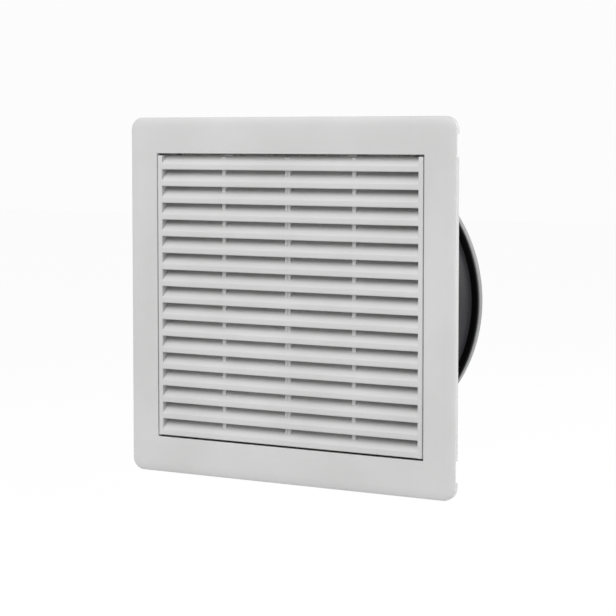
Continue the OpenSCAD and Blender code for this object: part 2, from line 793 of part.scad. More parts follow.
module fan_bore() {
  inlet = [for (p = quarter(inlet_r, edge_steps, 90))
    [throat_r + inlet_r, fan_front + inlet_r] + [p[0], -p[1]]];
  intersection() {
    turned() polygon(concat([[0, fan_front - cut], [throat_r + inlet_r, fan_front - cut]], inlet,
      barrel_line(0), [[rear_r - barrel_wall, rear_flange_front], [rear_r - barrel_wall, fan_rear + cut],
      [0, fan_rear + cut]]));
    translate([-fan_r, fan_front - 2 * cut, -fan_drop - fan_h / 2 + barrel_wall])
      cube([fan_w, fan_depth + 4 * cut, fan_h - 2 * barrel_wall]);
  }
}

module fan_housing() {
  color(fan_black) difference() {
    union() {
      difference() {
        union() {
          fan_block();
          at_fan_screws() rod(0, 0, boss_r, rear_flange_front - thread_depth, fan_rear);
          translate([pad_x, pad_y, -fan_drop - block_h / 2 - 2 * screw_head_r])
            cube([2 * barrel_wall, block_depth, block_h + 2 * screw_head_r]);
        }
        fan_bore();
      }
      for (i = [0:strut_count - 1])
        on_fan_axis() rotate(360 * (i + 0.5) / strut_count)
          translate([seat_r - strut_w / 2, -strut_w / 2, seat_back - strut_depth])
            cube([rear_r - barrel_wall / 2 - seat_r + strut_w / 2, strut_w, strut_depth]);
      ring(0, seat_r, seat_front, seat_back);
    }
    at_fan_screws() {
      rod(0, 0, screw_r + fit_gap, fan_front - cut, front_flange_back + cut);
      rod(0, 0, screw_r + fit_gap, fan_rear - thread_depth, fan_rear + cut);
    }
    ring(0, seat_hole_r, seat_front - cut, seat_back + cut);
    at_motor_screws() rod(0, 0, motor_screw_r + fit_gap, seat_front - cut, seat_back + cut);
    translate([pad_x, pad_y + block_depth / 2, earth_z]) rotate([0, 90, 0])
      cylinder(r = tapping_r + fit_gap, h = 2 * barrel_wall, center = true);
  }
}

// Motor

module bearing_tube() {
  color(steel) difference() {
    turned() polygon([[0, tube_front], [tube_r, tube_front], [tube_r, tube_back - tube_flange],
      [tube_flange_r, tube_back - tube_flange], [tube_flange_r, tube_back], [0, tube_back]]);
    turned() polygon([[0, tube_front - cut], [bearing_r, tube_front - cut],
      [bearing_r, front_bearing_y + bearing_w], [tube_land_r, front_bearing_y + bearing_w],
      [tube_land_r, rear_bearing_y - spring_wall], [bearing_r, rear_bearing_y - spring_wall],
      [bearing_r, tube_back + cut], [0, tube_back + cut]]);
    at_motor_screws() rod(0, 0, motor_screw_r + fit_gap, tube_back - tube_flange - cut, tube_back + cut);
  }
}

module motor_screws() {
  grip = seat_wall + tube_flange;
  color(steel) at_motor_screws()
    pan_screw(seat_back, motor_screw_r, motor_head_r, motor_screw_r, grip);
}

// Shielded ball bearing, with the shields set in from both faces
module bearing(y0) {
  y1 = y0 + bearing_w;
  outer = bearing_r - fit_gap;
  inner = shaft_r + fit_gap;
  turned() polygon([[inner, y0], [inner + race_wall, y0], [inner + race_wall, y0 + shield_depth],
    [outer - race_wall, y0 + shield_depth], [outer - race_wall, y0], [outer, y0], [outer, y1],
    [outer - race_wall, y1], [outer - race_wall, y1 - shield_depth],
    [inner + race_wall, y1 - shield_depth], [inner + race_wall, y1], [inner, y1]]);
}

module front_bearing() {
  color(steel) bearing(front_bearing_y);
}

module rear_bearing() {
  color(steel) bearing(rear_bearing_y);
}

module preload_spring() {
  color(steel) ring(shaft_r + race_wall, bearing_r - 2 * fit_gap,
    rear_bearing_y - spring_wall, rear_bearing_y);
}

// Rods in the winding slots of the stack
module slot_rods(r, y0, y1) {
  for (i = [0:slot_count - 1]) on_fan_axis() rotate(360 * i / slot_count)
    translate([slot_circle, 0, y0]) cylinder(r = r, h = y1 - y0);
}

module stator_core() {
  color(steel) difference() {
    ring(tube_r + fit_gap, stator_r, stack_front, stack_back);
    slot_rods(slot_r, stack_front - cut, stack_back + cut);
    for (i = [0:slot_count - 1]) on_fan_axis() rotate(360 * i / slot_count)
      translate([slot_circle, -slot_mouth / 2, stack_front - cut])
        cube([stator_r, slot_mouth, stack_back - stack_front + 2 * cut]);
  }
}

module stator_insulators() {
  color("ivory") for (y = [stack_front - insulator_wall, stack_back]) difference() {
    ring(tube_r + fit_gap, stator_r - insulator_inset, y, y + insulator_wall);
    slot_rods(slot_r, y - cut, y + insulator_wall + cut);
  }
}

// Winding head of rounded section between two depths
module winding_head(y0, y1) {
  inner = tube_r + head_inset;
  outer = stator_r - head_inset;
  turned() polygon([[inner, y0 + head_round], [inner + head_round, y0], [outer - head_round, y0],
    [outer, y0 + head_round], [outer, y1 - head_round], [outer - head_round, y1],
    [inner + head_round, y1], [inner, y1 - head_round]]);
}

module stator_windings() {
  front = stack_front - insulator_wall;
  back = stack_back + insulator_wall;
  color(copper) union() {
    winding_head(front - head_length, front);
    winding_head(back, back + head_length);
    slot_rods(slot_r - slot_liner, front - head_length / 2, back + head_length / 2);
  }
}

module rotor_cup() {
  color(fan_black) difference() {
    turned() polygon([[0, cup_front], [cup_r - cup_bevel, cup_front], [cup_r, cup_front + cup_bevel],
      [cup_r, cup_back], [cup_r - cup_wall, cup_back], [cup_r - cup_wall, cup_front + cup_wall],
      [cup_boss_r, cup_front + cup_wall], [cup_boss_r, cup_front + cup_boss_l],
      [0, cup_front + cup_boss_l]]);
    ring(0, shaft_r + fit_gap, cup_front - cut, cup_front + cup_boss_l + cut);
  }
}

module rotor_cage() {
  color(steel) ring(cage_inner_r, cage_outer_r, stack_front - cage_end, stack_back + cage_end);
}

module shaft() {
  color(steel) turned() polygon([[0, cup_front], [shaft_r, cup_front], [shaft_r, ring_y],
    [groove_r, ring_y], [groove_r, ring_y + ring_wall], [shaft_r, ring_y + ring_wall],
    [shaft_r, shaft_back - shaft_chamfer], [shaft_r - shaft_chamfer, shaft_back], [0, shaft_back]]);
}

module retaining_ring() {
  ring_r = shaft_r + ring_height;
  color(steel) difference() {
    ring(groove_r + fit_gap, ring_r, ring_y + fit_gap, ring_y + ring_wall - fit_gap);
    on_fan_axis() translate([0, -groove_r / 2, ring_y - cut])
      cube([ring_r + cut, groove_r, ring_wall + 2 * cut]);
  }
}

// Impeller

// Plan of one blade in radius and sweep, seen along the fan's axis
module blade_plan() {
  half = chord * cos(stagger) / 2;
  root = hub_inner_r - hub_wall;
  span = tip_r + cut - root;
  radii = [for (i = [0:edge_steps]) root + span * i / edge_steps];
  function swept(r) = tip_sweep * pow((r - root) / span, 2);
  polygon(concat([for (r = radii) [r, swept(r) - half]],
    [for (i = [edge_steps:-1:0]) [radii[i], swept(radii[i]) + half]]));
}

// Cambered sheet blade: a slice of a tube whose axis points outwards, ending at the hub ring
module fan_blade() {
  offset_r = sqrt(camber_r * camber_r - chord * chord / 4);
  reach = chord * sin(stagger);
  difference() {
    intersection() {
      translate([0, offset_r * sin(stagger), blade_middle + offset_r * cos(stagger)])
        rotate([0, 90, 0]) difference() {
          cylinder(r = camber_r + fan_blade_wall / 2, h = tip_r + cut);
          translate([0, 0, -cut]) cylinder(r = camber_r - fan_blade_wall / 2, h = tip_r + 3 * cut);
        }
      translate([0, 0, blade_middle - reach]) linear_extrude(2 * reach) blade_plan();
      cylinder(r = tip_r, h = fan_rear);
    }
    cylinder(r = blade_root_r, h = fan_rear);
  }
}

module hub_ring() {
  color(fan_black) ring(hub_inner_r, hub_r, cup_front, cup_front + hub_length);
}

module impeller_blades() {
  color(fan_black) for (i = [0:fan_blades - 1])
    on_fan_axis() rotate(360 * i / fan_blades) fan_blade();
}

// Finger guard

module finger_guard() {
  step = (guard_outer_r - guard_inner_r) / (guard_rings - 1);
  color(fan_black) difference() {
    union() {
      for (i = [0:guard_rings - 1])
        turned() translate([guard_inner_r + i * step, guard_ring_y]) circle(r = ring_wire_r);
      for (a = [45:90:315]) on_fan_axis() rotate(a)
        translate([guard_inner_r - ring_wire_r, 0, guard_arm_y]) rotate([0, 90, 0])
          cylinder(r = arm_wire_r, h = fan_screw_circle - guard_inner_r);
      at_fan_screws() rod(0, 0, eye_r, fan_rear, guard_back);
    }
    at_fan_screws() rod(0, 0, screw_r + fit_gap, fan_rear - cut, guard_back + cut);
  }
}

module guard_screws() {
  length = 2 * arm_wire_r + thread_depth - thread_spare;
  color(steel) at_fan_screws() pan_screw(guard_back, screw_r, screw_head_r, screw_head_h, length);
}

// Terminals

module terminal_block() {
  color(fan_black) difference() {
    translate([block_x, pad_y, -fan_drop - block_h / 2]) cube([block_w, block_depth, block_h]);
    blade_slots(fit_gap);
  }
}

module blade_slots(gap) {
  for (side = [-1, 1])
    translate([block_x + block_w / 2 - blade_tab_t / 2 - gap,
      pad_y + block_depth / 2 + side * blade_tab_spacing / 2 - blade_tab_w / 2 - gap,
      -fan_drop + block_h / 2 - blade_root_l - gap])
      cube([blade_tab_t + 2 * gap, blade_tab_w + 2 * gap, blade_root_l + blade_tab_l + 2 * gap]);
}

module terminal_blades() {
  color(brass) blade_slots(0);
}

module earth_screw() {
  color(brass) translate([pad_x, pad_y + block_depth / 2, earth_z]) rotate([0, 0, 90])
    pan_screw(0, tapping_r, tapping_head_r, screw_head_h, barrel_wall);
}

// Spring clips

// Strip and rolled bead of one clip on the right side, in X and Y
module clip_section() {
  half = clip_wall / 2;
  root_x = collar_size / 2 + half;
  bend_y = bead_depth - clip_wall;
  line = [[clip_bead_x, bead_depth], [root_x, bend_y], [clip_nose_x - half, clip_nose_y],
    [clip_nose_x - clip_wall - half, clip_tip_depth + half]];
  polygon(concat([for (p = line) p + [half, half]], [for (i = [3:-1:0]) line[i] - [half, half]]));
}

module clip(side, z) {
  color(steel) translate([0, 0, z]) mirror([side < 0 ? 1 : 0, 0, 0]) {
    linear_extrude(clip_w, center = true) clip_section();
    translate([clip_bead_x, bead_depth, 0]) cylinder(r = bead_r, h = clip_w, center = true);
  }
}

module clip_upper_left() { clip(-1, clip_z); }
module clip_lower_left() { clip(-1, -clip_z); }
module clip_upper_right() { clip(1, clip_z); }
module clip_lower_right() { clip(1, -clip_z); }

front_frame();
louvre_grille();
panel_gasket();
filter_mat();
fan_plate();
plate_screws();
fan_housing();
fan_screws();
fan_nuts();
bearing_tube();
motor_screws();
front_bearing();
rear_bearing();
preload_spring();
stator_core();
stator_insulators();
stator_windings();
rotor_cup();
rotor_cage();
shaft();
retaining_ring();
hub_ring();
impeller_blades();
finger_guard();
guard_screws();
terminal_block();
terminal_blades();
earth_screw();
clip_upper_left();
clip_lower_left();
clip_upper_right();
clip_lower_right();
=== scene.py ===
"""Looks of a cabinet filter fan: louvred bezel, filter mat and axial fan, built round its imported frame."""
import json
import math
from collections import namedtuple

import bpy
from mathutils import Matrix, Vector


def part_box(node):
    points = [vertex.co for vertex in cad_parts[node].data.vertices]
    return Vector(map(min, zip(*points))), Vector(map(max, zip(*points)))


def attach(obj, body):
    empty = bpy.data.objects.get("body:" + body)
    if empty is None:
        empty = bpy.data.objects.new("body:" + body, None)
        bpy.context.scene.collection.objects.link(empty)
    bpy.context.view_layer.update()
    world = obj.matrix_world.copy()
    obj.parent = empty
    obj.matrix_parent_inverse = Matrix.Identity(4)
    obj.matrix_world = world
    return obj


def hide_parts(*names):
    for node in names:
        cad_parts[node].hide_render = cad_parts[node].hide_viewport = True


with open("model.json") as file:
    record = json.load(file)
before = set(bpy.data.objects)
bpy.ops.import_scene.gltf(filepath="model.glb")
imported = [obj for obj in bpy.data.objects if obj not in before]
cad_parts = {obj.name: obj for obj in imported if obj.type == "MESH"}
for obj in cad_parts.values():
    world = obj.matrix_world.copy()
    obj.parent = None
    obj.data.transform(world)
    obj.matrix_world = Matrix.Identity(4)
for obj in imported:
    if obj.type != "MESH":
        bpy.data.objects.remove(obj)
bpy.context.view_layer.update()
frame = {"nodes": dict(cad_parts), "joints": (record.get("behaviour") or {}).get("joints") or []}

# One millimetre in metres. Sizes below are in millimetres, in the frame's own axes:
# X to the right, Y into the cabinet, Z up, with Y = 0 on the outer face of the panel.
MM = 0.001
Point = namedtuple("Point", "x y z")


def in_millimetres(place):
    """A place in metres as a point in millimetres, to a hundredth."""
    return Point(*[round(v / MM, 2) for v in place])


def node_box(node):
    """Lower and upper corner of a CAD node's box."""
    return [in_millimetres(corner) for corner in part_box(node)]


def joint_place(name):
    """The point on its axis that a joint is placed by."""
    return in_millimetres(next(j["pos_m"] for j in frame["joints"] if j["name"] == name))


# Boxes of the nodes and places of the joints that the sizes below follow
BEZEL_LOW, BEZEL_HIGH = node_box("front_frame")
_, PLATE_HIGH = node_box("fan_plate")
GASKET_LOW, GASKET_HIGH = node_box("panel_gasket")
MAT_LOW, MAT_HIGH = node_box("filter_mat")
GRILLE_LOW, GRILLE_HIGH = node_box("louvre_grille")
CLIP_LOW, CLIP_HIGH = node_box("clip_upper_right")
FAN_LOW, FAN_HIGH = node_box("fan_housing")
BLOCK_LOW, BLOCK_HIGH = node_box("terminal_block")
HINGE = joint_place("grille_hinge")
BEAD = joint_place("clip_upper_right_flex")

# Working margins: how near a picked point lies to its plane, and how far two faces are kept from
# lying in one plane; how far an added piece sinks into the one that carries it; and how far a cut
# goes past the face that it opens
NEAR = 0.01
SINK = 0.5
PAST = 1.0

# Least share of a normal along an axis, for a face that looks that way and for one that leans
FACING = 0.9
LEANING = 0.5

# Rounding of edges and corners
EASE = 0.35
EASE_STEPS = 3
SMALL_EASE_STEPS = 2
CORNER_R = 7.0
CORNER_STEPS = 12
COLLAR_CORNER_R = 5.0
COLLAR_CORNER_STEPS = 6

# Bezel
BEZEL_HALF = BEZEL_HIGH.x
FACE_Y = BEZEL_LOW.y
SKIN_BACK = GASKET_LOW.y
ROLL_W = 6.0
ROLL_H = 1.6
ROLL_STEPS = 9
RIM_DEPTH = 3.4
RIM_WALL = 2.0
RIM_FRONT = FACE_Y + ROLL_H
RIM_BACK = RIM_FRONT + RIM_DEPTH
NOTCH_INSET = 9.5
NOTCH_LENGTH = 12.0
NOTCH_TO = BEZEL_HALF - NOTCH_INSET
NOTCH_FROM = NOTCH_TO - NOTCH_LENGTH
NOTCH_REACH = 1.5 * RIM_WALL

# Collar and opening
COLLAR_HALF = PLATE_HIGH.x
COLLAR_BACK = BEZEL_HIGH.y
COLLAR_WALL = 2.2
COLLAR_INNER = COLLAR_HALF - COLLAR_WALL
SIDE_LEDGE = 1.8
END_LEDGE = 4.2
OPENING_HALF_W = COLLAR_INNER - SIDE_LEDGE
OPENING_HALF_H = COLLAR_INNER - END_LEDGE
POST_SIDE = 9.0
POST_FROM = COLLAR_INNER - POST_SIDE
POST_FRONT = MAT_LOW.y

# Hinge of the grille
STUD_R = 1.4
STUD_END = GRILLE_HIGH.x
STUD_SIDES = 32
BORE_GAP = 0.1
BORE_END_GAP = 0.4
HINGE_BOSS = 3.45

# Pockets of the clips
CLIP_Z = BEAD.z
CLIP_SIDE_GAP = 0.5
CLIP_POCKET = CLIP_HIGH.z - CLIP_LOW.z + 2 * CLIP_SIDE_GAP
CLIP_RECESS = 0.8
RECESS_MARGIN = 1.4
RECESS_FRONT = CLIP_LOW.y - RECESS_MARGIN
RECESS_BACK = BEAD.y + RECESS_MARGIN
WINDOW_MARGIN = 3.0
WINDOW_BACK = BEAD.y - WINDOW_MARGIN
BEAD_R = 1.4
SOCKET_WALL = 1.2
SOCKET_HALF = 2.5
SOCKET_REACH = 2.55

# Soft pieces
GASKET_OUT = GASKET_HIGH.x
GASKET_GAP = 0.5
GASKET_IN = COLLAR_HALF + GASKET_GAP
GASKET_EDGE = 0.9
GASKET_EDGE_STEPS = 4
MAT_SWELL = 0.5
MAT_FRONT_SWELL = 0.52
MAT_POST_GAP = 2.6
MAT_HALF = MAT_HIGH.x - MAT_SWELL
MAT_BACK = MAT_HIGH.y - MAT_SWELL
MAT_FRONT = MAT_LOW.y + MAT_FRONT_SWELL
MAT_CORNER = POST_FROM - MAT_POST_GAP
MAT_VOXEL = 1.3
MAT_SOFTENING = 0.5
MAT_SOFTENING_STEPS = 4

# Sizes of the mat's lumps, with how high they stand
MAT_LUMPS = {22.0: 0.7, 3.0: 0.35}

# Louvre grille
SIDE_GAP = 0.6
GRILLE_HALF_W = OPENING_HALF_W - SIDE_GAP
GRILLE_HALF_H = -GRILLE_LOW.z
GRILLE_BACK = GRILLE_HIGH.y
SLATS = 17
SLAT_PITCH = 9.55
LIP_H = 3.3
LIP_WALL = 1.5
LIP_EDGE_R = 0.8
LIP_EDGE_STEPS = 4
KNEE_R = 1.6
KNEE_STEPS = 5
BLADE_WALL = 1.6
BLADE_RUN = 7.25
RAIL_W = 2.75
RAIL_CORNER = 4.0
RIB_X = 41.1
RIB_W = 2.2
RIB_RECESS = 3.0
MIDDLE_RIB_W = 3.4
GROOVE_W = 0.5
GROOVE_DEPTH = 0.25
TAB_X = 39.0
TAB_W = 6.0
TAB_WALL = 1.8
TAB_FRONT = -0.8
TAB_ROOT = 0.4
TAB_TOP = GRILLE_HIGH.z
TAB_BOTTOM = GRILLE_HALF_H - TAB_ROOT

# Fan casing
FAN_Z = (FAN_LOW.z + FAN_HIGH.z) / 2
FAN_FLAT = (FAN_HIGH.z - FAN_LOW.z) / 2
FAN_R = FAN_HIGH.x
FAN_FRONT = FAN_LOW.y
FAN_REAR = FAN_HIGH.y
FLANGE = 3.6
FLANGE_BACK = FAN_FRONT + FLANGE
REAR_FLANGE = 7.0
REAR_FLANGE_Y = FAN_REAR - REAR_FLANGE
REAR_BORDER = 4.0
REAR_DRAFT = 1.0
REAR_R = FAN_R - REAR_BORDER
FLARE_R = REAR_R - REAR_DRAFT
BARREL_WALL = 3.0
BOSS_R = 5.0
BOSS_LENGTH = 7.0
BOSS_SIDES = 48
SCREW_CIRCLE = FAN_R - BOSS_R
SCREW_SEAT = 7.5
THROAT_R = SCREW_CIRCLE - SCREW_SEAT - BARREL_WALL
THROAT_END = 20.0
THROAT_Y = FAN_FRONT + THROAT_END
FLARE_END = 33.0
FLARE_Y = FAN_FRONT + FLARE_END
FLARE_STEPS = 14
INLET_R = 4.0
INLET_STEPS = 6
PAD_DEPTH = 6.0
PAD_DROP = 7.8
SEAT_R = 41.0
SEAT_HOLE = 4.0
SEAT_INSET = 1.0
SEAT_WALL = 3.0
SEAT_BACK = FAN_REAR - SEAT_INSET
SEAT_FRONT = SEAT_BACK - SEAT_WALL
SEAT_EDGE = 0.6
SEAT_STEPS = 3
STRUT_W = 6.0
STRUT_DEPTH = 5.0
STRUT_EDGE = 1.0
STRUT_EDGE_STEPS = 3
STRUT_ANGLES = (45, 135, 225, 315)
RIM_EDGE = 1.2
RIM_STEPS = 4
FLAT_EDGE = 0.6
FLAT_STEPS = 2
TURN_STEPS = 144

# Half a step of a turned piece in degrees: the bore is turned by it, so that its corners don't lie
# on the casing's edges
HALF_STEP = 180 / TURN_STEPS

# Where the casting's painted shade on the rear flange's front face and its painted highlight along the rear
# flange's outer edge fade, from the edge or face that they follow
MASK_START = -0.6
MASK_FULL = -0.1
SHADE_FULL = 0.2
SHADE_END = 1.0
SHADED_LEDGE_FADE = 0.3
HIGHLIGHT_START = 0.3
HIGHLIGHT_FULL = 3.4

# CAD nodes whose edges are eased: triangles are merged within a distance, faces count as flat and
# edges as sharp by an angle in degrees, and the plate is eased only round its rim
MERGE_WITHIN = 0.002
FLAT_BELOW = 0.3
SHARP_ABOVE = 40.0
EASED_STEPS = 2
PLATE_RIM = 3.5

# Angles in degrees up to which the faces of a piece are shaded as one
SMOOTH_MOULDING = 32.0
SMOOTH_CASTING = 28.0
SMOOTH_EASED = 35.0
SMOOTH_FOAM = 40.0

# The photograph's view: place in metres, angles in degrees, lens and sensor in millimetres
CAMERA_PLACE = (0.4804, -0.8638, 0.0914)
CAMERA_YAW = 28.5
CAMERA_PITCH = 3.53
CAMERA_LENS = 104.5
CAMERA_SENSOR = 36.0
CAMERA_SHIFT = -0.1
CAMERA_NEAREST = 0.01
CAMERA_FURTHEST = 50.0

# White studio: strengths of light, and the floor's place and size in metres
FILL_LIGHT = 0.36
BACKDROP_WHITE = 0.975
FLOOR_Z = -0.26
FLOOR_SIZE = 12.0
FLOOR_TONE = 0.8
FLOOR_ROUGHNESS = 0.9
FLOOR_GLOW = 1.035
FLOOR_GLOW_SHARE = 0.9

# Sockets of a Mix node for colours, which share their names with the sockets for numbers
MIX_UNDER = 6
MIX_OVER = 7
MIX_RESULT = 2

# Distance in metres between the lines of a Wave node at a scale of 1
WAVE_PITCH = math.pi / 10


# Helpers that work as by hand: pick, then press the operator


def end_edit():
    bpy.ops.object.mode_set(mode="OBJECT")


def deselect_all():
    if bpy.context.object and bpy.context.object.mode != "OBJECT":
        end_edit()
    bpy.ops.object.select_all(action="DESELECT")


def make_active(piece):
    deselect_all()
    piece.select_set(True)
    bpy.context.view_layer.objects.active = piece


def settled():
    """The active piece, with its place put into its mesh."""
    bpy.ops.object.transform_apply(location=True, rotation=True, scale=True)
    return bpy.context.object


def add_box(name, low, high):
    """A box between two corners in millimetres, with its place in its mesh."""
    deselect_all()
    middle = [(a + b) / 2 * MM for a, b in zip(low, high)]
    size = [(b - a) * MM for a, b in zip(low, high)]
    bpy.ops.mesh.primitive_cube_add(size=1, location=middle, scale=size)
    piece = settled()
    piece.name = name
    return piece


def add_bar(name, middle, length, radius, turn, sides):
    """A round bar about its middle, turned from upright by angles about X, Y and Z."""
    deselect_all()
    bpy.ops.mesh.primitive_cylinder_add(
        vertices=sides, radius=radius * MM, depth=length * MM,
        location=[v * MM for v in middle], rotation=turn)
    piece = settled()
    piece.name = name
    return piece


def clear_picks(piece, mode):
    """Makes a piece active with nothing on it picked, ready to pick vertices, edges or faces."""
    make_active(piece)
    bpy.context.tool_settings.mesh_select_mode = [mode == m for m in ("VERT", "EDGE", "FACE")]
    for group in (piece.data.vertices, piece.data.edges, piece.data.polygons):
        group.foreach_set("select", [False] * len(group))


def pick_all(piece):
    """Enters edit mode with the whole piece picked."""
    make_active(piece)
    bpy.ops.object.mode_set(mode="EDIT")
    bpy.ops.mesh.select_all(action="SELECT")


def pick_faces(piece, wanted):
    """Enters edit mode with the faces picked whose middle in millimetres and normal pass a test."""
    clear_picks(piece, "FACE")
    for face in piece.data.polygons:
        face.select = wanted(face.center / MM, face.normal)
    bpy.ops.object.mode_set(mode="EDIT")


def pick_edges(piece, wanted):
    """Enters edit mode with the edges picked whose two ends in millimetres pass a test."""
    clear_picks(piece, "EDGE")
    points = [v.co / MM for v in piece.data.vertices]
    for edge in piece.data.edges:
        edge.select = wanted(*[points[i] for i in edge.vertices])
    bpy.ops.object.mode_set(mode="EDIT")


def pick_edges_among(piece, wanted):
    """Enters edit mode with the edges picked whose ends both pass a test."""
    pick_edges(piece, lambda a, b: wanted(a) and wanted(b))


def pick_line(piece, y, z):
    """Picks the edge along X at a depth and a height."""
    pick_edges_among(piece, lambda p: abs(p.y - y) + abs(p.z - z) < 2 * NEAR)


def pick_rear_ends(piece, back):
    """Picks the edges along X at a depth, at the upper and the lower end of an upright."""
    pick_edges(piece, lambda a, b: min(a.y, b.y) > back - NEAR and abs(a.z - b.z) < NEAR)


def move_picked(x=0.0, y=0.0, z=0.0):
    bpy.ops.transform.translate(value=(x * MM, y * MM, z * MM))


def extrude_picked(x=0.0, y=0.0, z=0.0):
    bpy.ops.mesh.extrude_region_move(TRANSFORM_OT_translate={"value": (x * MM, y * MM, z * MM)})


def bevel_picked(width, steps):
    bpy.ops.mesh.bevel(offset=width * MM, segments=steps, affect="EDGES", clamp_overlap=True)
    end_edit()


def apply_modifier(piece, modifier):
    make_active(piece)
    bpy.ops.object.modifier_apply(modifier=modifier.name)


def combine(piece, other, operation):
    """Adds, cuts or keeps the shape of another piece, which is used up."""
    modifier = piece.modifiers.new("combine", "BOOLEAN")
    modifier.operation = operation
    modifier.solver = "EXACT"
    modifier.object = other
    apply_modifier(piece, modifier)
    bpy.data.objects.remove(other)


def combine_both_sides(piece, other, operation):
    """Adds or cuts another piece and its mirror image."""
    combine(piece, mirrored(other), operation)
    combine(piece, other, operation)


def join(pieces):
    """Joins pieces that don't touch into the first."""
    make_active(pieces[0])
    for piece in pieces[1:]:
        piece.select_set(True)
    bpy.ops.object.join()
    return pieces[0]


def duplicate(piece):
    """Makes a copy of a piece, with its own mesh, the active one."""
    make_active(piece)
    bpy.ops.object.duplicate(linked=False)


def moved_copies(piece, places):
    """Copies of a piece moved by vectors in millimetres."""
    made = []
    for place in places:
        duplicate(piece)
        move_picked(*place)
        made.append(settled())
    return made


def turned_copies(piece, angles):
    """Copies of a piece turned about the fan's axis by angles in degrees; the piece itself is used up."""
    made = []
    for angle in angles:
        duplicate(piece)
        bpy.ops.transform.rotate(
            value=math.radians(angle), orient_axis="Y", orient_type="GLOBAL",
            center_override=(0, 0, FAN_Z * MM))
        made.append(settled())
    bpy.data.objects.remove(piece)
    return made


def mirrored(piece):
    """A copy of a piece on the other side of the middle plane."""
    duplicate(piece)
    bpy.ops.transform.mirror(
        constraint_axis=(True, False, False), orient_type="GLOBAL", center_override=(0, 0, 0))
    other = settled()
    pick_all(other)
    bpy.ops.mesh.normals_make_consistent(inside=False)
    end_edit()
    return other


def in_four_corners(piece, across, down):
    """A piece at the upper right joined with its copies at the other corners, some way across and down."""
    places = [(-across, 0, 0), (0, 0, -down), (-across, 0, -down)]
    return join([piece, *moved_copies(piece, places)])


def round_corners(piece, radius, steps):
    """Rounds the four edges of a box that run along Y."""
    pick_edges(piece, lambda a, b: abs(a.y - b.y) > abs(a.x - b.x) + abs(a.z - b.z))
    bevel_picked(radius, steps)


def smooth(piece, degrees):
    make_active(piece)
    bpy.ops.object.shade_smooth_by_angle(angle=math.radians(degrees))


def eased_copy(node, width, beyond):
    """A copy of a CAD node, merged, with the sharp edges rounded that lie beyond a reach along X or Z."""
    mesh = frame["nodes"][node].data.copy()
    piece = bpy.data.objects.new(node + "_eased", mesh)
    bpy.context.scene.collection.objects.link(piece)
    make_active(piece)
    bpy.ops.mesh.customdata_custom_splitnormals_clear()
    pick_all(piece)
    bpy.ops.mesh.remove_doubles(threshold=MERGE_WITHIN * MM)
    bpy.ops.mesh.dissolve_limited(angle_limit=math.radians(FLAT_BELOW))
    bpy.ops.mesh.select_mode(type="EDGE")
    bpy.ops.mesh.select_all(action="DESELECT")
    bpy.ops.mesh.edges_select_sharp(sharpness=math.radians(SHARP_ABOVE))
    end_edit()
    sharp = [edge.select for edge in mesh.edges]
    outer = [max(abs(v.co.x), abs(v.co.z)) > beyond * MM for v in mesh.vertices]
    clear_picks(piece, "EDGE")
    for edge, is_sharp in zip(mesh.edges, sharp):
        edge.select = is_sharp and all(outer[i] for i in edge.vertices)
    bpy.ops.object.mode_set(mode="EDIT")
    bevel_picked(width, EASED_STEPS)
    smooth(piece, SMOOTH_EASED)
    return piece


def add_line(name, points):
    """A closed line through points of radius and depth, to the right of the fan's axis, in edit mode."""
    deselect_all()
    bpy.ops.mesh.primitive_plane_add(size=MM)
    piece = bpy.context.object
    piece.name = name
    bpy.ops.object.mode_set(mode="EDIT")
    bpy.ops.mesh.select_mode(type="VERT")
    bpy.ops.mesh.select_all(action="SELECT")
    bpy.ops.mesh.merge(type="CENTER")
    (r, y), rest = points[0], points[1:]
    move_picked(r, y, FAN_Z)
    for next_r, next_y in rest:
        extrude_picked(next_r - r, next_y - y)
        r, y = next_r, next_y
    clear_picks(piece, "VERT")
    piece.data.vertices[0].select = True
    piece.data.vertices[len(points) - 1].select = True
    bpy.ops.object.mode_set(mode="EDIT")
    bpy.ops.mesh.edge_face_add()
    return piece


def add_turned(name, points):
    """A closed solid turned about the fan's axis from a closed line of radius and depth."""
    piece = add_line(name, points)
    bpy.ops.mesh.select_all(action="SELECT")
    bpy.ops.mesh.spin(steps=TURN_STEPS, angle=2 * math.pi, center=(0, 0, FAN_Z * MM), axis=(0, 1, 0))
    bpy.ops.mesh.select_all(action="SELECT")
    bpy.ops.mesh.remove_doubles(threshold=NEAR * MM)
    bpy.ops.mesh.normals_make_consistent(inside=False)
    end_edit()
    return piece


def dress(mesh, material):
    """Gives a mesh one material."""
    mesh.materials.clear()
    mesh.materials.append(material)


def finish_piece(piece, material, body, node):
    """Gives a piece its finish, and puts it in a CAD node's place on its body."""
    dress(piece.data, material)
    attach(piece, body)
    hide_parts(node)


# Materials


def add_node(tree, kind, inputs, **settings):
    """A new shader node with its settings, each input linked from a socket or set to a value."""
    node = tree.nodes.new("ShaderNode" + kind)
    for name, value in settings.items():
        setattr(node, name, value)
    for name, value in inputs.items():
        if isinstance(value, bpy.types.NodeSocket):
            tree.links.new(value, node.inputs[name])
        else:
            node.inputs[name].default_value = value
    return node


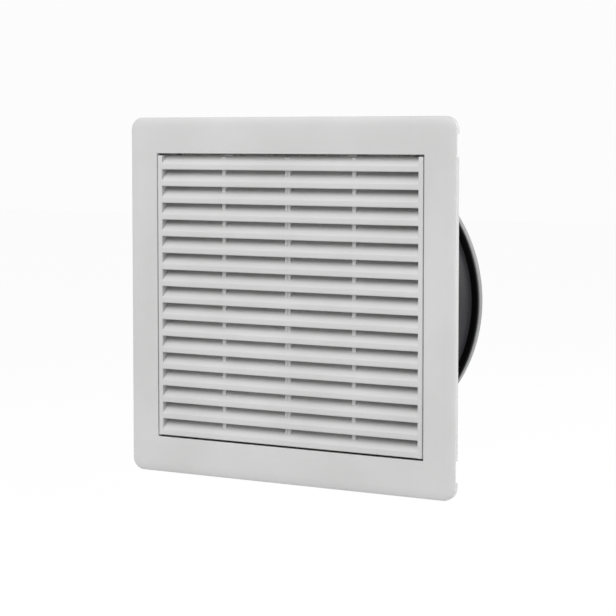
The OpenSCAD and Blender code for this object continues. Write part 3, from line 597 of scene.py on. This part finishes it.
class Finish:
    """A Principled material whose patterns read the piece's own place, in metres."""

    def __init__(self, name, roughness=0.5, metallic=0.0):
        self.material = bpy.data.materials.new(name)
        self.material.use_nodes = True
        self.tree = self.material.node_tree
        self.shader = self.tree.nodes["Principled BSDF"]
        self.set("Roughness", roughness)
        self.set("Metallic", metallic)
        self.place = self.add("TexCoord", {}).outputs["Object"]

    def add(self, kind, inputs, **settings):
        return add_node(self.tree, kind, inputs, **settings)

    def set(self, name, value):
        """Sets one of the shader's own sockets."""
        self.shader.inputs[name].default_value = value

    def drive(self, name, source):
        """Links one of the shader's own sockets."""
        self.tree.links.new(source, self.shader.inputs[name])

    def stretched(self, x, y, z, place=None):
        """The place scaled along each axis, for grain that runs one way."""
        return self.add("Mapping", {"Vector": place or self.place, "Scale": (x, y, z)}).outputs["Vector"]

    def curled(self, size, reach):
        """The place pushed to and fro by soft noise, so that straight grain curls; both in millimetres."""
        push = self.add("TexNoise", {"Vector": self.place, "Scale": 1 / (size * MM), "Detail": 1.0})
        inputs = {0: push.outputs["Color"], 1: [reach * MM] * 3, 2: self.place}
        return self.add("VectorMath", inputs, operation="MULTIPLY_ADD").outputs["Vector"]

    def noise(self, size, detail=2.0, place=None):
        """Noise whose lumps are about a size in millimetres."""
        inputs = {"Vector": place or self.place, "Scale": 1 / (size * MM), "Detail": detail}
        return self.add("TexNoise", inputs).outputs["Fac"]

    def cells(self, size):
        """Cells about a size in millimetres across."""
        return self.add("TexVoronoi", {"Vector": self.place, "Scale": 1 / (size * MM)}).outputs["Distance"]

    def bands(self, size, axis="Y", distortion=0.0):
        """Fine lines across an axis, a size in millimetres apart."""
        inputs = {"Vector": self.place, "Scale": WAVE_PITCH / (size * MM), "Distortion": distortion}
        return self.add("TexWave", inputs, bands_direction=axis).outputs["Fac"]

    def depth(self):
        """Place along Y, in metres."""
        return self.add("SeparateXYZ", {"Vector": self.place}).outputs["Y"]

    def away(self, z, keep=(1, 0, 1)):
        """Distance from a line along Y at a height z, in metres, along the axes that are kept."""
        inputs = {"Vector": self.place, "Location": (0, 0, -z * MM), "Scale": keep}
        offset = self.add("Mapping", inputs).outputs["Vector"]
        return self.add("VectorMath", {0: offset}, operation="LENGTH").outputs["Value"]

    def span(self, value, low, high):
        """A mask that goes softly from 0 to 1 as a length goes from low to high, in millimetres."""
        inputs = {"Value": value, "From Min": low * MM, "From Max": high * MM}
        return self.add("MapRange", inputs, interpolation_type="SMOOTHSTEP").outputs["Result"]

    def both(self, one, other):
        """A mask that is 1 where two masks are."""
        return self.add("Math", {0: one, 1: other}, operation="MULTIPLY").outputs["Value"]

    def either(self, one, other):
        """The higher of two masks or patterns."""
        return self.add("Math", {0: one, 1: other}, operation="MAXIMUM").outputs["Value"]

    def colour(self, pattern, dark, light, low=0.35, high=0.65):
        """Base colour that goes from dark to light as a pattern goes from low to high."""
        ramp = self.add("ValToRGB", {"Fac": pattern})
        for element, place, tone in zip(ramp.color_ramp.elements, (low, high), (dark, light)):
            element.position = place
            element.color = (*tone, 1)
        self.drive("Base Color", ramp.outputs["Color"])

    def paint(self, mask, colour):
        """Lays a colour over the base colour where a mask is 1."""
        base = self.shader.inputs["Base Color"].links[0].from_socket
        inputs = {"Factor": mask, MIX_UNDER: base, MIX_OVER: (*colour, 1)}
        mix = self.add("Mix", inputs, data_type="RGBA")
        self.drive("Base Color", mix.outputs[MIX_RESULT])

    def rough(self, pattern, low, high):
        """Roughness that follows a pattern from a low to a high value."""
        node = self.add("MapRange", {"Value": pattern, "To Min": low, "To Max": high})
        self.drive("Roughness", node.outputs["Result"])

    def relief(self, pattern, depth, strength):
        """Bumps of a depth in millimetres, on top of any relief that is there."""
        inputs = {"Height": pattern, "Distance": depth * MM, "Strength": strength}
        below = self.shader.inputs["Normal"].links
        if below:
            inputs["Normal"] = below[0].from_socket
        self.drive("Normal", self.add("Bump", inputs).outputs["Normal"])


def grey_moulding():
    """Light grey moulded plastic with a fine spark-eroded grain."""
    f = Finish("grey_moulding", roughness=0.45)
    f.set("Specular IOR Level", 0.4)
    f.colour(f.noise(size=55, detail=3), dark=(0.585, 0.585, 0.583), light=(0.625, 0.625, 0.624))
    f.rough(f.noise(size=18, detail=4), low=0.40, high=0.52)
    f.relief(f.noise(size=0.45), depth=0.018, strength=0.5)
    return f.material


def black_casting():
    """Dark coated casting: a satin barrel, painted shade that blackens the rear flange's front face, and a
    painted highlight along the rear flange's outer edge.
    """
    f = Finish("black_casting", roughness=0.45)
    f.set("Specular IOR Level", 0.12)
    f.colour(f.noise(size=1.5, detail=3), dark=(0.026, 0.026, 0.028), light=(0.033, 0.033, 0.036))
    radius = f.away(FAN_Z)
    height = f.away(FAN_Z, keep=(0, 0, 1))
    depth = f.depth()
    # Painted shade: the rear flange's front face outside the barrel is painted near black, where the bezel's
    # shadow falls
    back = REAR_FLANGE_Y
    before = f.span(depth, back + MASK_START, back + MASK_FULL)
    behind = f.span(depth, back + SHADE_END, back + SHADE_FULL)
    shaded_ledge = f.span(radius, REAR_R - SHADED_LEDGE_FADE, REAR_R + SHADED_LEDGE_FADE)
    f.paint(f.both(f.both(before, behind), shaded_ledge), (0.002, 0.002, 0.002))
    # Painted highlight: the rear flange's outer edge, round and flat, is painted light grey where the light
    # from behind catches it
    round_edge = f.span(radius, FAN_R + MASK_START, FAN_R + MASK_FULL)
    flat_edge = f.span(height, FAN_FLAT + MASK_START, FAN_FLAT + MASK_FULL)
    painted_highlight = f.span(depth, back + HIGHLIGHT_START, back + HIGHLIGHT_FULL)
    f.paint(f.both(f.either(round_edge, flat_edge), painted_highlight), (0.30, 0.30, 0.305))
    f.rough(f.noise(size=1.5, detail=3), low=0.38, high=0.5)
    f.relief(f.noise(size=0.7, detail=3), depth=0.04, strength=0.6)
    return f.material


def black_coat():
    """Black stove enamel on steel."""
    f = Finish("black_coat", roughness=0.35)
    f.colour(f.noise(size=9, detail=3), dark=(0.012, 0.012, 0.013), light=(0.022, 0.022, 0.024))
    f.rough(f.noise(size=4, detail=3), low=0.28, high=0.42)
    f.relief(f.noise(size=1.6), depth=0.03, strength=0.5)
    return f.material


def black_moulding():
    """Black moulded plastic."""
    f = Finish("black_moulding", roughness=0.5)
    f.colour(f.noise(size=8, detail=3), dark=(0.017, 0.017, 0.017), light=(0.028, 0.028, 0.029))
    f.rough(f.noise(size=3, detail=3), low=0.44, high=0.6)
    f.relief(f.noise(size=0.4), depth=0.02, strength=0.5)
    return f.material


def foam_cells():
    """Black closed-cell foam."""
    f = Finish("foam_cells", roughness=0.95)
    cells = f.cells(size=1.1)
    f.colour(cells, dark=(0.018, 0.018, 0.019), light=(0.060, 0.060, 0.062), low=0.1, high=0.7)
    f.relief(cells, depth=0.35, strength=0.8)
    f.relief(f.noise(size=0.5, detail=3), depth=0.1, strength=0.5)
    return f.material


def filter_fleece():
    """Non-woven fleece: curled fibres that cross each other, over soft lumps."""
    f = Finish("filter_fleece", roughness=1.0)
    f.set("Sheen Weight", 0.25)
    place = f.curled(size=11, reach=16)
    upright = f.noise(size=0.9, place=f.stretched(1.0, 1.0, 0.14, place))
    level = f.noise(size=0.9, place=f.stretched(0.14, 1.0, 1.0, place))
    fibres = f.either(upright, level)
    f.colour(fibres, dark=(0.54, 0.54, 0.525), light=(0.76, 0.76, 0.75), low=0.44, high=0.68)
    f.relief(f.noise(size=4), depth=0.5, strength=0.5)
    f.relief(fibres, depth=0.5, strength=0.7)
    return f.material


def metal(name, dark, light, roughness, grain=None):
    """Bare or plated metal between two tones and two roughnesses, with grain if it is drawn."""
    f = Finish(name, roughness=roughness[0], metallic=1.0)
    place = f.stretched(*grain) if grain else None
    f.colour(f.noise(size=2.5, detail=4, place=place), dark, light)
    f.rough(f.noise(size=0.9, detail=4, place=place), *roughness)
    f.relief(f.noise(size=0.5, detail=3, place=place), depth=0.012, strength=0.4)
    return f.material


def stacked_sheet():
    """Edges of stacked steel sheets."""
    f = Finish("stacked_sheet", roughness=0.45, metallic=1.0)
    sheets = f.bands(size=0.5)
    f.colour(sheets, dark=(0.12, 0.12, 0.125), light=(0.32, 0.32, 0.33), low=0.2, high=0.8)
    f.relief(sheets, depth=0.06, strength=0.8)
    return f.material


def copper_turns():
    """Turns of enamelled copper wire."""
    f = Finish("copper_turns", roughness=0.35, metallic=1.0)
    f.colour(f.noise(size=1.2, detail=4), dark=(0.36, 0.11, 0.035), light=(0.66, 0.26, 0.10))
    f.relief(f.bands(size=0.55, axis="DIAGONAL", distortion=1.5), depth=0.2, strength=0.8)
    return f.material


def ivory_moulding():
    """Ivory moulded plastic."""
    f = Finish("ivory_moulding", roughness=0.5)
    f.colour(f.noise(size=6, detail=3), dark=(0.66, 0.60, 0.47), light=(0.76, 0.71, 0.59))
    f.relief(f.noise(size=0.5), depth=0.02, strength=0.5)
    return f.material


# Bezel with its collar


def rolled_bezel():
    """Plain bezel, rolled off to its rim in front and hollow behind the rim."""
    half = BEZEL_HALF
    bezel = add_box("bezel_frame", (-half, RIM_FRONT, -half), (half, RIM_BACK, half))
    round_corners(bezel, CORNER_R, CORNER_STEPS)
    pick_faces(bezel, lambda c, n: n.y < -FACING)
    turns = [math.pi / 2 * i / ROLL_STEPS for i in range(ROLL_STEPS + 1)]
    inset = [ROLL_W * (1 - math.cos(a)) for a in turns]
    rise = [ROLL_H * math.sin(a) for a in turns]
    for i in range(ROLL_STEPS):
        bpy.ops.mesh.inset(thickness=(inset[i + 1] - inset[i]) * MM, depth=(rise[i + 1] - rise[i]) * MM)
    pick_faces(bezel, lambda c, n: n.y > FACING)
    bpy.ops.mesh.inset(thickness=RIM_WALL * MM)
    extrude_picked(y=SKIN_BACK - RIM_BACK)
    end_edit()
    return bezel


def add_collar(bezel):
    """Adds the collar that passes the panel, with the opening in front of it and a post in each corner."""
    outer, inner = COLLAR_HALF, COLLAR_INNER
    collar = add_box("collar", (-outer, SKIN_BACK - PAST, -outer), (outer, COLLAR_BACK, outer))
    round_corners(collar, COLLAR_CORNER_R, COLLAR_CORNER_STEPS)
    combine(bezel, collar, "UNION")
    inside = add_box("inside", (-inner, SKIN_BACK, -inner), (inner, COLLAR_BACK + 2 * PAST, inner))
    combine(bezel, inside, "DIFFERENCE")
    w, h = OPENING_HALF_W, OPENING_HALF_H
    opening = add_box("opening", (-w, FACE_Y - 2 * PAST, -h), (w, SKIN_BACK + PAST, h))
    combine(bezel, opening, "DIFFERENCE")
    end = inner + SINK
    post = add_box("post", (POST_FROM, POST_FRONT, POST_FROM), (end, COLLAR_BACK, end))
    combine(bezel, in_four_corners(post, POST_FROM + end, POST_FROM + end), "UNION")


def cut_notches(bezel):
    """Cuts the four notches in the rim's sides, near its corners."""
    start, end = BEZEL_HALF - NOTCH_REACH, BEZEL_HALF + PAST
    notch = add_box("notch", (start, SKIN_BACK, NOTCH_FROM), (end, RIM_BACK + PAST, NOTCH_TO))
    combine(bezel, in_four_corners(notch, start + end, NOTCH_FROM + NOTCH_TO), "DIFFERENCE")


def add_hinges(bezel):
    """Adds the bosses behind the skin at the opening's lower corners, with their bores for the studs."""
    low = (OPENING_HALF_W, SKIN_BACK - SINK, HINGE.z - HINGE_BOSS)
    high = (COLLAR_INNER + SINK, HINGE.y + HINGE_BOSS, HINGE.z + HINGE_BOSS)
    boss = add_box("hinge_boss", low, high)
    bore = stud("hinge_bore", OPENING_HALF_W - PAST, STUD_END + BORE_END_GAP, STUD_R + BORE_GAP)
    combine_both_sides(bezel, boss, "UNION")
    combine_both_sides(bezel, bore, "DIFFERENCE")


def add_clip_pockets(bezel, z):
    """Adds the sockets for two clips at a height, and cuts the room in which the clips fold inwards."""
    low, high = z - CLIP_POCKET / 2, z + CLIP_POCKET / 2
    outer, inner = COLLAR_HALF, COLLAR_INNER
    socket_low = (BEAD.x - SOCKET_REACH, BEAD.y - SOCKET_HALF, low - SOCKET_WALL)
    socket_high = (inner + SINK, BEAD.y + SOCKET_HALF, high + SOCKET_WALL)
    bead_low = (BEAD.x - BEAD_R, BEAD.y - BEAD_R, low)
    bead_high = (BEAD.x + 2 * PAST, BEAD.y + BEAD_R, high)
    socket = add_box("socket", socket_low, socket_high)
    recess = add_box("recess", (outer - CLIP_RECESS, RECESS_FRONT, low), (outer + PAST, RECESS_BACK, high))
    window = add_box("window", (inner - PAST, RECESS_FRONT, low), (outer + 2 * PAST, WINDOW_BACK, high))
    bead = add_box("bead", bead_low, bead_high)
    combine_both_sides(bezel, socket, "UNION")
    for cut in (recess, window, bead):
        combine_both_sides(bezel, cut, "DIFFERENCE")


def bezel_frame():
    """Bezel with its collar, the bores for the grille's studs and the pockets of the clips."""
    bezel = rolled_bezel()
    add_collar(bezel)
    cut_notches(bezel)
    add_hinges(bezel)
    for z in (CLIP_Z, -CLIP_Z):
        add_clip_pockets(bezel, z)
    w, h = OPENING_HALF_W + NEAR, OPENING_HALF_H + NEAR
    pick_edges_among(bezel, lambda p: abs(p.y - FACE_Y) < NEAR and abs(p.x) < w and abs(p.z) < h)
    bevel_picked(EASE, EASE_STEPS)
    smooth(bezel, SMOOTH_MOULDING)
    return bezel


# Louvre grille


def one_slat():
    """Louvre of an upright lip and a blade at 45 degrees, with its knee and edges rounded."""
    half = GRILLE_HALF_W - RAIL_W / 2
    foot = -GRILLE_HALF_H
    knee = foot + LIP_H
    inner_knee = knee + LIP_WALL - BLADE_WALL * math.sqrt(2)
    slat = add_box("slats", (-half, FACE_Y, foot), (half, FACE_Y + LIP_WALL, inner_knee))
    pick_line(slat, FACE_Y, inner_knee)
    move_picked(z=knee - inner_knee)
    pick_faces(slat, lambda c, n: n.z > LEANING)
    extrude_picked(y=BLADE_RUN, z=BLADE_RUN)
    square_end = LIP_WALL - BLADE_WALL / math.sqrt(2)
    pick_line(slat, FACE_Y + LIP_WALL + BLADE_RUN, inner_knee + BLADE_RUN)
    move_picked(y=-square_end, z=-square_end)
    pick_line(slat, FACE_Y, knee)
    bevel_picked(KNEE_R * math.tan(math.pi / 8), KNEE_STEPS)
    pick_line(slat, FACE_Y, foot)
    bevel_picked(LIP_EDGE_R, LIP_EDGE_STEPS)
    middle = (FACE_Y + GRILLE_BACK) / 2
    pick_edges(slat, lambda a, b: min(a.y, b.y) > middle and abs(a.x - b.x) > half)
    bevel_picked(EASE, SMALL_EASE_STEPS)
    return slat


def side_rail():
    """Rail at the grille's right side, with its rear corners cut off."""
    low = (GRILLE_HALF_W - RAIL_W, FACE_Y, -GRILLE_HALF_H)
    rail = add_box("rail", low, (GRILLE_HALF_W, GRILLE_BACK, GRILLE_HALF_H))
    pick_rear_ends(rail, GRILLE_BACK)
    bevel_picked(RAIL_CORNER, 1)
    pick_edges_among(rail, lambda p: p.y < FACE_Y + NEAR)
    bevel_picked(EASE, EASE_STEPS)
    return rail


def rib(width, groove=0.0):
    """Upright rib behind the lips, with a groove down its front if it has a groove's width."""
    front = FACE_Y + RIB_RECESS
    back = GRILLE_BACK - BLADE_WALL
    end = GRILLE_HALF_H - LIP_EDGE_R
    piece = add_box("rib", (-width / 2, front, -end), (width / 2, back, end))
    pick_rear_ends(piece, back)
    bevel_picked(back - front - LIP_WALL, 1)
    if groove:
        for x in (-groove / 2, groove / 2):
            pick_all(piece)
            bpy.ops.mesh.bisect(plane_co=(x * MM, 0, 0), plane_no=(1, 0, 0))
        pick_faces(piece, lambda c, n: n.y < -FACING and abs(c.x) < groove / 2)
        extrude_picked(y=GROOVE_DEPTH)
        end_edit()
    return piece


def snap_tab():
    """Snap tab on the grille's upper edge, right of the middle."""
    low = (TAB_X - TAB_W / 2, TAB_FRONT, TAB_BOTTOM)
    tab = add_box("tab", low, (TAB_X + TAB_W / 2, TAB_FRONT + TAB_WALL, TAB_TOP))
    pick_edges_among(tab, lambda p: p.z > TAB_TOP - NEAR)
    bevel_picked(EASE, SMALL_EASE_STEPS)
    return tab


def stud(name, start, end, radius):
    """A round stud along the hinge's axis between two places on X, with its outer end eased."""
    middle = ((end + start) / 2, HINGE.y, HINGE.z)
    piece = add_bar(name, middle, end - start, radius, (0, math.pi / 2, 0), STUD_SIDES)
    pick_edges_among(piece, lambda p: p.x > end - NEAR)
    bevel_picked(EASE, SMALL_EASE_STEPS)
    return piece


def louvre_grille():
    """Hinged grille: louvres between two rails, tied by ribs, with snap tabs and hinge studs."""
    grille = one_slat()
    repeat = grille.modifiers.new("repeat", "ARRAY")
    repeat.use_relative_offset = False
    repeat.use_constant_offset = True
    repeat.constant_offset_displace = (0, 0, SLAT_PITCH * MM)
    repeat.count = SLATS
    apply_modifier(grille, repeat)
    pick_all(grille)
    top = (0, 0, GRILLE_HALF_H * MM)
    bpy.ops.mesh.bisect(plane_co=top, plane_no=(0, 0, 1), use_fill=True, clear_outer=True)
    end_edit()
    pin = stud("hinge_stud", GRILLE_HALF_W - RAIL_W / 2, STUD_END, STUD_R)
    for piece in (side_rail(), snap_tab(), pin):
        combine_both_sides(grille, piece, "UNION")
    middle = rib(RIB_W)
    for side in moved_copies(middle, [(-RIB_X, 0, 0), (RIB_X, 0, 0)]):
        combine(grille, side, "UNION")
    bpy.data.objects.remove(middle)
    combine(grille, rib(MIDDLE_RIB_W, GROOVE_W), "UNION")
    grille.name = "louvre_front"
    smooth(grille, SMOOTH_MOULDING)
    return grille


# Fan casing


def arc(r, y, radius, start, end, steps):
    """Points of radius and depth on an arc, with its angles in degrees from the outward direction."""
    turns = [math.radians(start + (end - start) * i / steps) for i in range(steps + 1)]
    return [(r + radius * math.cos(t), y + radius * math.sin(t)) for t in turns]


def rim(r, front, back, edge, steps):
    """Points over the outside of a disc, with both its edges rounded."""
    return arc(r - edge, front + edge, edge, -90, 0, steps) + arc(r - edge, back - edge, edge, 0, 90, steps)


def flare(wall):
    """The barrel's line from the throat to the rear flange, at a wall outside the bore."""
    points = []
    for i in range(FLARE_STEPS + 1):
        t = i / FLARE_STEPS
        swing = (1 - math.cos(math.pi * t)) / 2
        r = THROAT_R + wall + (FLARE_R - BARREL_WALL - THROAT_R) * swing
        points.append((r, THROAT_Y + (FLARE_Y - THROAT_Y) * t))
    return points


def keep_between_flats(piece, half):
    """Cuts a turned piece off at the same distance above and below the fan's axis."""
    wide = FAN_R + 2 * PAST
    low = (-wide, FAN_FRONT - 2 * PAST, FAN_Z - half)
    combine(piece, add_box("flats", low, (wide, FAN_REAR + 2 * PAST, FAN_Z + half)), "INTERSECT")


def casing_body():
    """Solid casing: two flanges and a flared barrel, with its flats, screw bosses and terminal pad."""
    line = [(0, FAN_FRONT), *rim(FAN_R, FAN_FRONT, FLANGE_BACK, RIM_EDGE, RIM_STEPS)]
    line += [(THROAT_R + BARREL_WALL, FLANGE_BACK), *flare(BARREL_WALL), (REAR_R, REAR_FLANGE_Y)]
    line += [*rim(FAN_R, REAR_FLANGE_Y, FAN_REAR, RIM_EDGE, RIM_STEPS), (0, FAN_REAR)]
    casing = add_turned("fan_casing", line)
    keep_between_flats(casing, FAN_FLAT)
    pick_edges_among(casing, lambda p: abs(abs(p.z - FAN_Z) - FAN_FLAT) < NEAR)
    bevel_picked(FLAT_EDGE, FLAT_STEPS)

    start, end = REAR_FLANGE_Y - BOSS_LENGTH, FAN_REAR - NEAR
    reach = SCREW_CIRCLE * math.sqrt(0.5)
    for x in (-reach, reach):
        for z in (FAN_Z - reach, FAN_Z + reach):
            middle = (x, (start + end) / 2, z)
            boss = add_bar("boss", middle, end - start, BOSS_R - NEAR, (math.pi / 2, 0, 0), BOSS_SIDES)
            combine(casing, boss, "UNION")
    pad_low = (BLOCK_HIGH.x, BLOCK_LOW.y, BLOCK_LOW.z - PAD_DROP)
    pad_high = (BLOCK_HIGH.x + PAD_DEPTH, BLOCK_HIGH.y, BLOCK_HIGH.z)
    combine(casing, add_box("pad", pad_low, pad_high), "UNION")
    return casing


def casing_bore():
    """The way of the air through the casing: rounded inlet, throat and flare, with flats of its own."""
    inlet, outlet = THROAT_R + INLET_R, REAR_R - BARREL_WALL
    before, behind = FAN_FRONT - PAST, FAN_REAR + PAST
    line = [(0, before), (inlet, before)]
    line += arc(inlet, FAN_FRONT + INLET_R - NEAR, INLET_R, 270, 180, INLET_STEPS)
    line += [*flare(0), (outlet, REAR_FLANGE_Y), (outlet, behind), (0, behind)]
    bore = turned_copies(add_turned("bore", line), [HALF_STEP])[0]
    keep_between_flats(bore, FAN_FLAT - BARREL_WALL)
    return bore


def motor_seat():
    """Disc that the motor is screwed to, with a hole for the shaft's end."""
    line = [(SEAT_HOLE, SEAT_FRONT), *rim(SEAT_R, SEAT_FRONT, SEAT_BACK, SEAT_EDGE, SEAT_STEPS)]
    return add_turned("seat", [*line, (SEAT_HOLE, SEAT_BACK)])


def one_strut():
    """Strut from the motor seat to the casing's wall, along X."""
    low = (SEAT_R - STRUT_W / 2, SEAT_BACK - STRUT_DEPTH, FAN_Z - STRUT_W / 2)
    strut = add_box("strut", low, (REAR_R - BARREL_WALL / 2, SEAT_BACK - NEAR, FAN_Z + STRUT_W / 2))
    pick_edges(strut, lambda a, b: abs(a.x - b.x) > STRUT_W)
    bevel_picked(STRUT_EDGE, STRUT_EDGE_STEPS)
    return strut


def fan_casing():
    """Cast fan housing with its bore, struts and motor seat."""
    casing = casing_body()
    combine(casing, casing_bore(), "DIFFERENCE")
    for strut in turned_copies(one_strut(), STRUT_ANGLES):
        combine(casing, strut, "UNION")
    combine(casing, motor_seat(), "UNION")
    smooth(casing, SMOOTH_CASTING)
    return casing


# Soft pieces


def foam_gasket():
    """Foam strip stuck behind the bezel's skin, with soft edges towards the panel."""
    out, back = GASKET_OUT, GASKET_HIGH.y
    gasket = add_box("foam_gasket", (-out, SKIN_BACK, -out), (out, back, out))
    round_corners(gasket, CORNER_R - RIM_WALL, COLLAR_CORNER_STEPS)
    hole = GASKET_IN
    inner = add_box("inner", (-hole, SKIN_BACK - PAST, -hole), (hole, back + PAST, hole))
    round_corners(inner, COLLAR_CORNER_R, COLLAR_CORNER_STEPS)
    combine(gasket, inner, "DIFFERENCE")
    pick_edges_among(gasket, lambda p: p.y > back - NEAR)
    bevel_picked(GASKET_EDGE, GASKET_EDGE_STEPS)
    smooth(gasket, SMOOTH_FOAM)
    return gasket


def fleece_mat():
    """Filter mat cut from thick fleece: soft edges, notched for the posts, a little uneven all over."""
    half = MAT_HALF
    mat = add_box("fleece_mat", (-half, MAT_FRONT, -half), (half, MAT_BACK, half))
    start, end = MAT_CORNER, half + PAST
    corner = add_box("corner", (start, MAT_FRONT - PAST, start), (end, MAT_BACK + PAST, end))
    combine(mat, in_four_corners(corner, start + end, start + end), "DIFFERENCE")
    remesh = mat.modifiers.new("remesh", "REMESH")
    remesh.mode = "VOXEL"
    remesh.voxel_size = MAT_VOXEL * MM
    apply_modifier(mat, remesh)
    pick_all(mat)
    bpy.ops.mesh.vertices_smooth(factor=MAT_SOFTENING, repeat=MAT_SOFTENING_STEPS)
    end_edit()
    for size, height in MAT_LUMPS.items():
        lumps = bpy.data.textures.new("lumps", "CLOUDS")
        lumps.noise_scale = size * MM
        swell = mat.modifiers.new("swell", "DISPLACE")
        swell.texture = lumps
        swell.texture_coords = "LOCAL"
        swell.strength = height * MM
        apply_modifier(mat, swell)
    make_active(mat)
    bpy.ops.object.shade_smooth()
    return mat


# Camera, light and floor


def camera():
    """The photograph's view, from the right and a little above."""
    data = bpy.data.cameras.new("view")
    data.sensor_width = CAMERA_SENSOR
    data.lens = CAMERA_LENS
    data.shift_y = CAMERA_SHIFT
    data.clip_start = CAMERA_NEAREST
    data.clip_end = CAMERA_FURTHEST
    eye = bpy.data.objects.new("view", data)
    eye.location = CAMERA_PLACE
    eye.rotation_euler = (math.radians(90 - CAMERA_PITCH), 0, math.radians(CAMERA_YAW))
    bpy.context.scene.collection.objects.link(eye)
    bpy.context.scene.camera = eye


def plain(tone):
    """A neutral colour of one tone."""
    return (tone, tone, tone, 1)


def soft_light(name, place, target, size, power):
    """A square soft box, with its place, target and side in metres and its power in watts."""
    data = bpy.data.lights.new(name, "AREA")
    data.shape = "SQUARE"
    data.size = size
    data.energy = power
    lamp = bpy.data.objects.new(name, data)
    lamp.location = place
    aim = Vector([t - p for t, p in zip(target, place)])
    lamp.rotation_euler = aim.to_track_quat("-Z", "Y").to_euler()
    bpy.context.scene.collection.objects.link(lamp)


def seen(tree):
    """1 where a camera, mirror or glass looks straight at a surface, and 0 for the light that it gives."""
    rays = add_node(tree, "LightPath", {}).outputs
    mask = rays["Is Camera Ray"]
    for kind in ("Is Glossy Ray", "Is Transmission Ray"):
        mask = add_node(tree, "Math", {0: mask, 1: rays[kind]}, operation="MAXIMUM").outputs["Value"]
    return mask


def send_out(tree, share, lit, shown, output):
    """Sends out a shader for the light, with a share of another that is seen."""
    mix = add_node(tree, "MixShader", {"Fac": share, 1: lit.outputs[0], 2: shown.outputs[0]})
    tree.links.new(mix.outputs[0], tree.nodes[output].inputs["Surface"])


def white_world():
    """A dim even fill, which is seen as white."""
    world = bpy.data.worlds.new("studio")
    bpy.context.scene.world = world
    world.use_nodes = True
    tree = world.node_tree
    fill = tree.nodes["Background"]
    fill.inputs["Color"].default_value = plain(1)
    fill.inputs["Strength"].default_value = FILL_LIGHT
    white = add_node(tree, "Background", {"Color": plain(BACKDROP_WHITE), "Strength": 1.0})
    send_out(tree, seen(tree), fill, white, "World Output")


def paper_floor():
    """A floor of white paper, seen nearly as white as the world behind it."""
    deselect_all()
    bpy.ops.mesh.primitive_plane_add(size=FLOOR_SIZE, location=(0, 0, FLOOR_Z))
    floor = bpy.context.object
    floor.name = "floor"
    paper = bpy.data.materials.new("paper")
    paper.use_nodes = True
    tree = paper.node_tree
    matt = tree.nodes["Principled BSDF"]
    matt.inputs["Base Color"].default_value = plain(FLOOR_TONE)
    matt.inputs["Roughness"].default_value = FLOOR_ROUGHNESS
    glow = add_node(tree, "Emission", {"Strength": FLOOR_GLOW})
    share = add_node(tree, "Math", {0: seen(tree), 1: FLOOR_GLOW_SHARE}, operation="MULTIPLY")
    send_out(tree, share.outputs["Value"], matt, glow, "Material Output")
    floor.data.materials.append(paper)


def studio():
    """White studio with a soft key from above, and softer light from the side and from behind."""
    bpy.context.scene.view_settings.view_transform = "Standard"
    white_world()
    paper_floor()
    soft_light("key", place=(-0.2, -1.15, 1.35), target=(0, 0, 0), size=1.5, power=26)
    soft_light("side", place=(1.5, 0.15, 0.25), target=(0, 0, 0), size=0.8, power=9)
    soft_light("back", place=(0.95, 1.5, 0.7), target=(0, 0.04, 0), size=1.2, power=11)


# Finishes, and the CAD nodes that only need one

GREY = grey_moulding()
CASTING = black_casting()
COAT = black_coat()
BLACK = black_moulding()
IVORY = ivory_moulding()
FLEECE = filter_fleece()
FOAM = foam_cells()
SHEET = stacked_sheet()
COPPER = copper_turns()
ZINC = metal("zinc_plate", (0.50, 0.51, 0.53), (0.66, 0.67, 0.69), roughness=(0.26, 0.42))
STRIP = metal(
    "spring_strip", (0.48, 0.48, 0.48), (0.62, 0.62, 0.62), roughness=(0.2, 0.36), grain=(1.0, 1.0, 0.12))
GROUND = metal("ground_steel", (0.52, 0.53, 0.55), (0.64, 0.65, 0.67), roughness=(0.18, 0.3))
BRASS = metal("brass_plate", (0.60, 0.41, 0.14), (0.76, 0.55, 0.24), roughness=(0.24, 0.4))

NODES_BY_FINISH = (
    (COAT, ("finger_guard", "rotor_cup")),
    (SHEET, ("rotor_cage", "stator_core")),
    (IVORY, ("stator_insulators",)),
    (COPPER, ("stator_windings",)),
    (BRASS, ("terminal_blades", "earth_screw")),
    (GROUND, ("bearing_tube", "front_bearing", "rear_bearing", "shaft")),
    (STRIP, ("preload_spring", "retaining_ring")),
    (STRIP, ("clip_upper_left", "clip_lower_left", "clip_upper_right", "clip_lower_right")),
    (ZINC, ("plate_screws", "fan_screws", "fan_nuts", "guard_screws", "motor_screws")),
)
for material, nodes in NODES_BY_FINISH:
    for node in nodes:
        dress(frame["nodes"][node].data, material)

# Nodes with eased edges: finish, slot, body, width of an edge, and where the easing starts
EASED_NODES = {
    "fan_plate": (GREY, "grey_plastic", "housing", 0.4, COLLAR_HALF - PLATE_RIM),
    "hub_ring": (COAT, "black_steel", "rotor", 0.3, 0.0),
    "impeller_blades": (COAT, "black_steel", "rotor", 0.25, 0.0),
    "terminal_block": (BLACK, "black_plastic", "housing", 0.5, 0.0),
}

# Pieces that are modelled anew

finish_piece(bezel_frame(), GREY, "housing", "front_frame")
finish_piece(louvre_grille(), GREY, "grille", "louvre_grille")
finish_piece(fan_casing(), CASTING, "housing", "fan_housing")
for node, (material, slot, body, width, beyond) in EASED_NODES.items():
    finish_piece(eased_copy(node, width, beyond), material, body, node)
gasket = foam_gasket()
finish_piece(gasket, FOAM, "housing", "panel_gasket")
mat = fleece_mat()
finish_piece(mat, FLEECE, "housing", "filter_mat")
camera()
studio()

deselect_all()
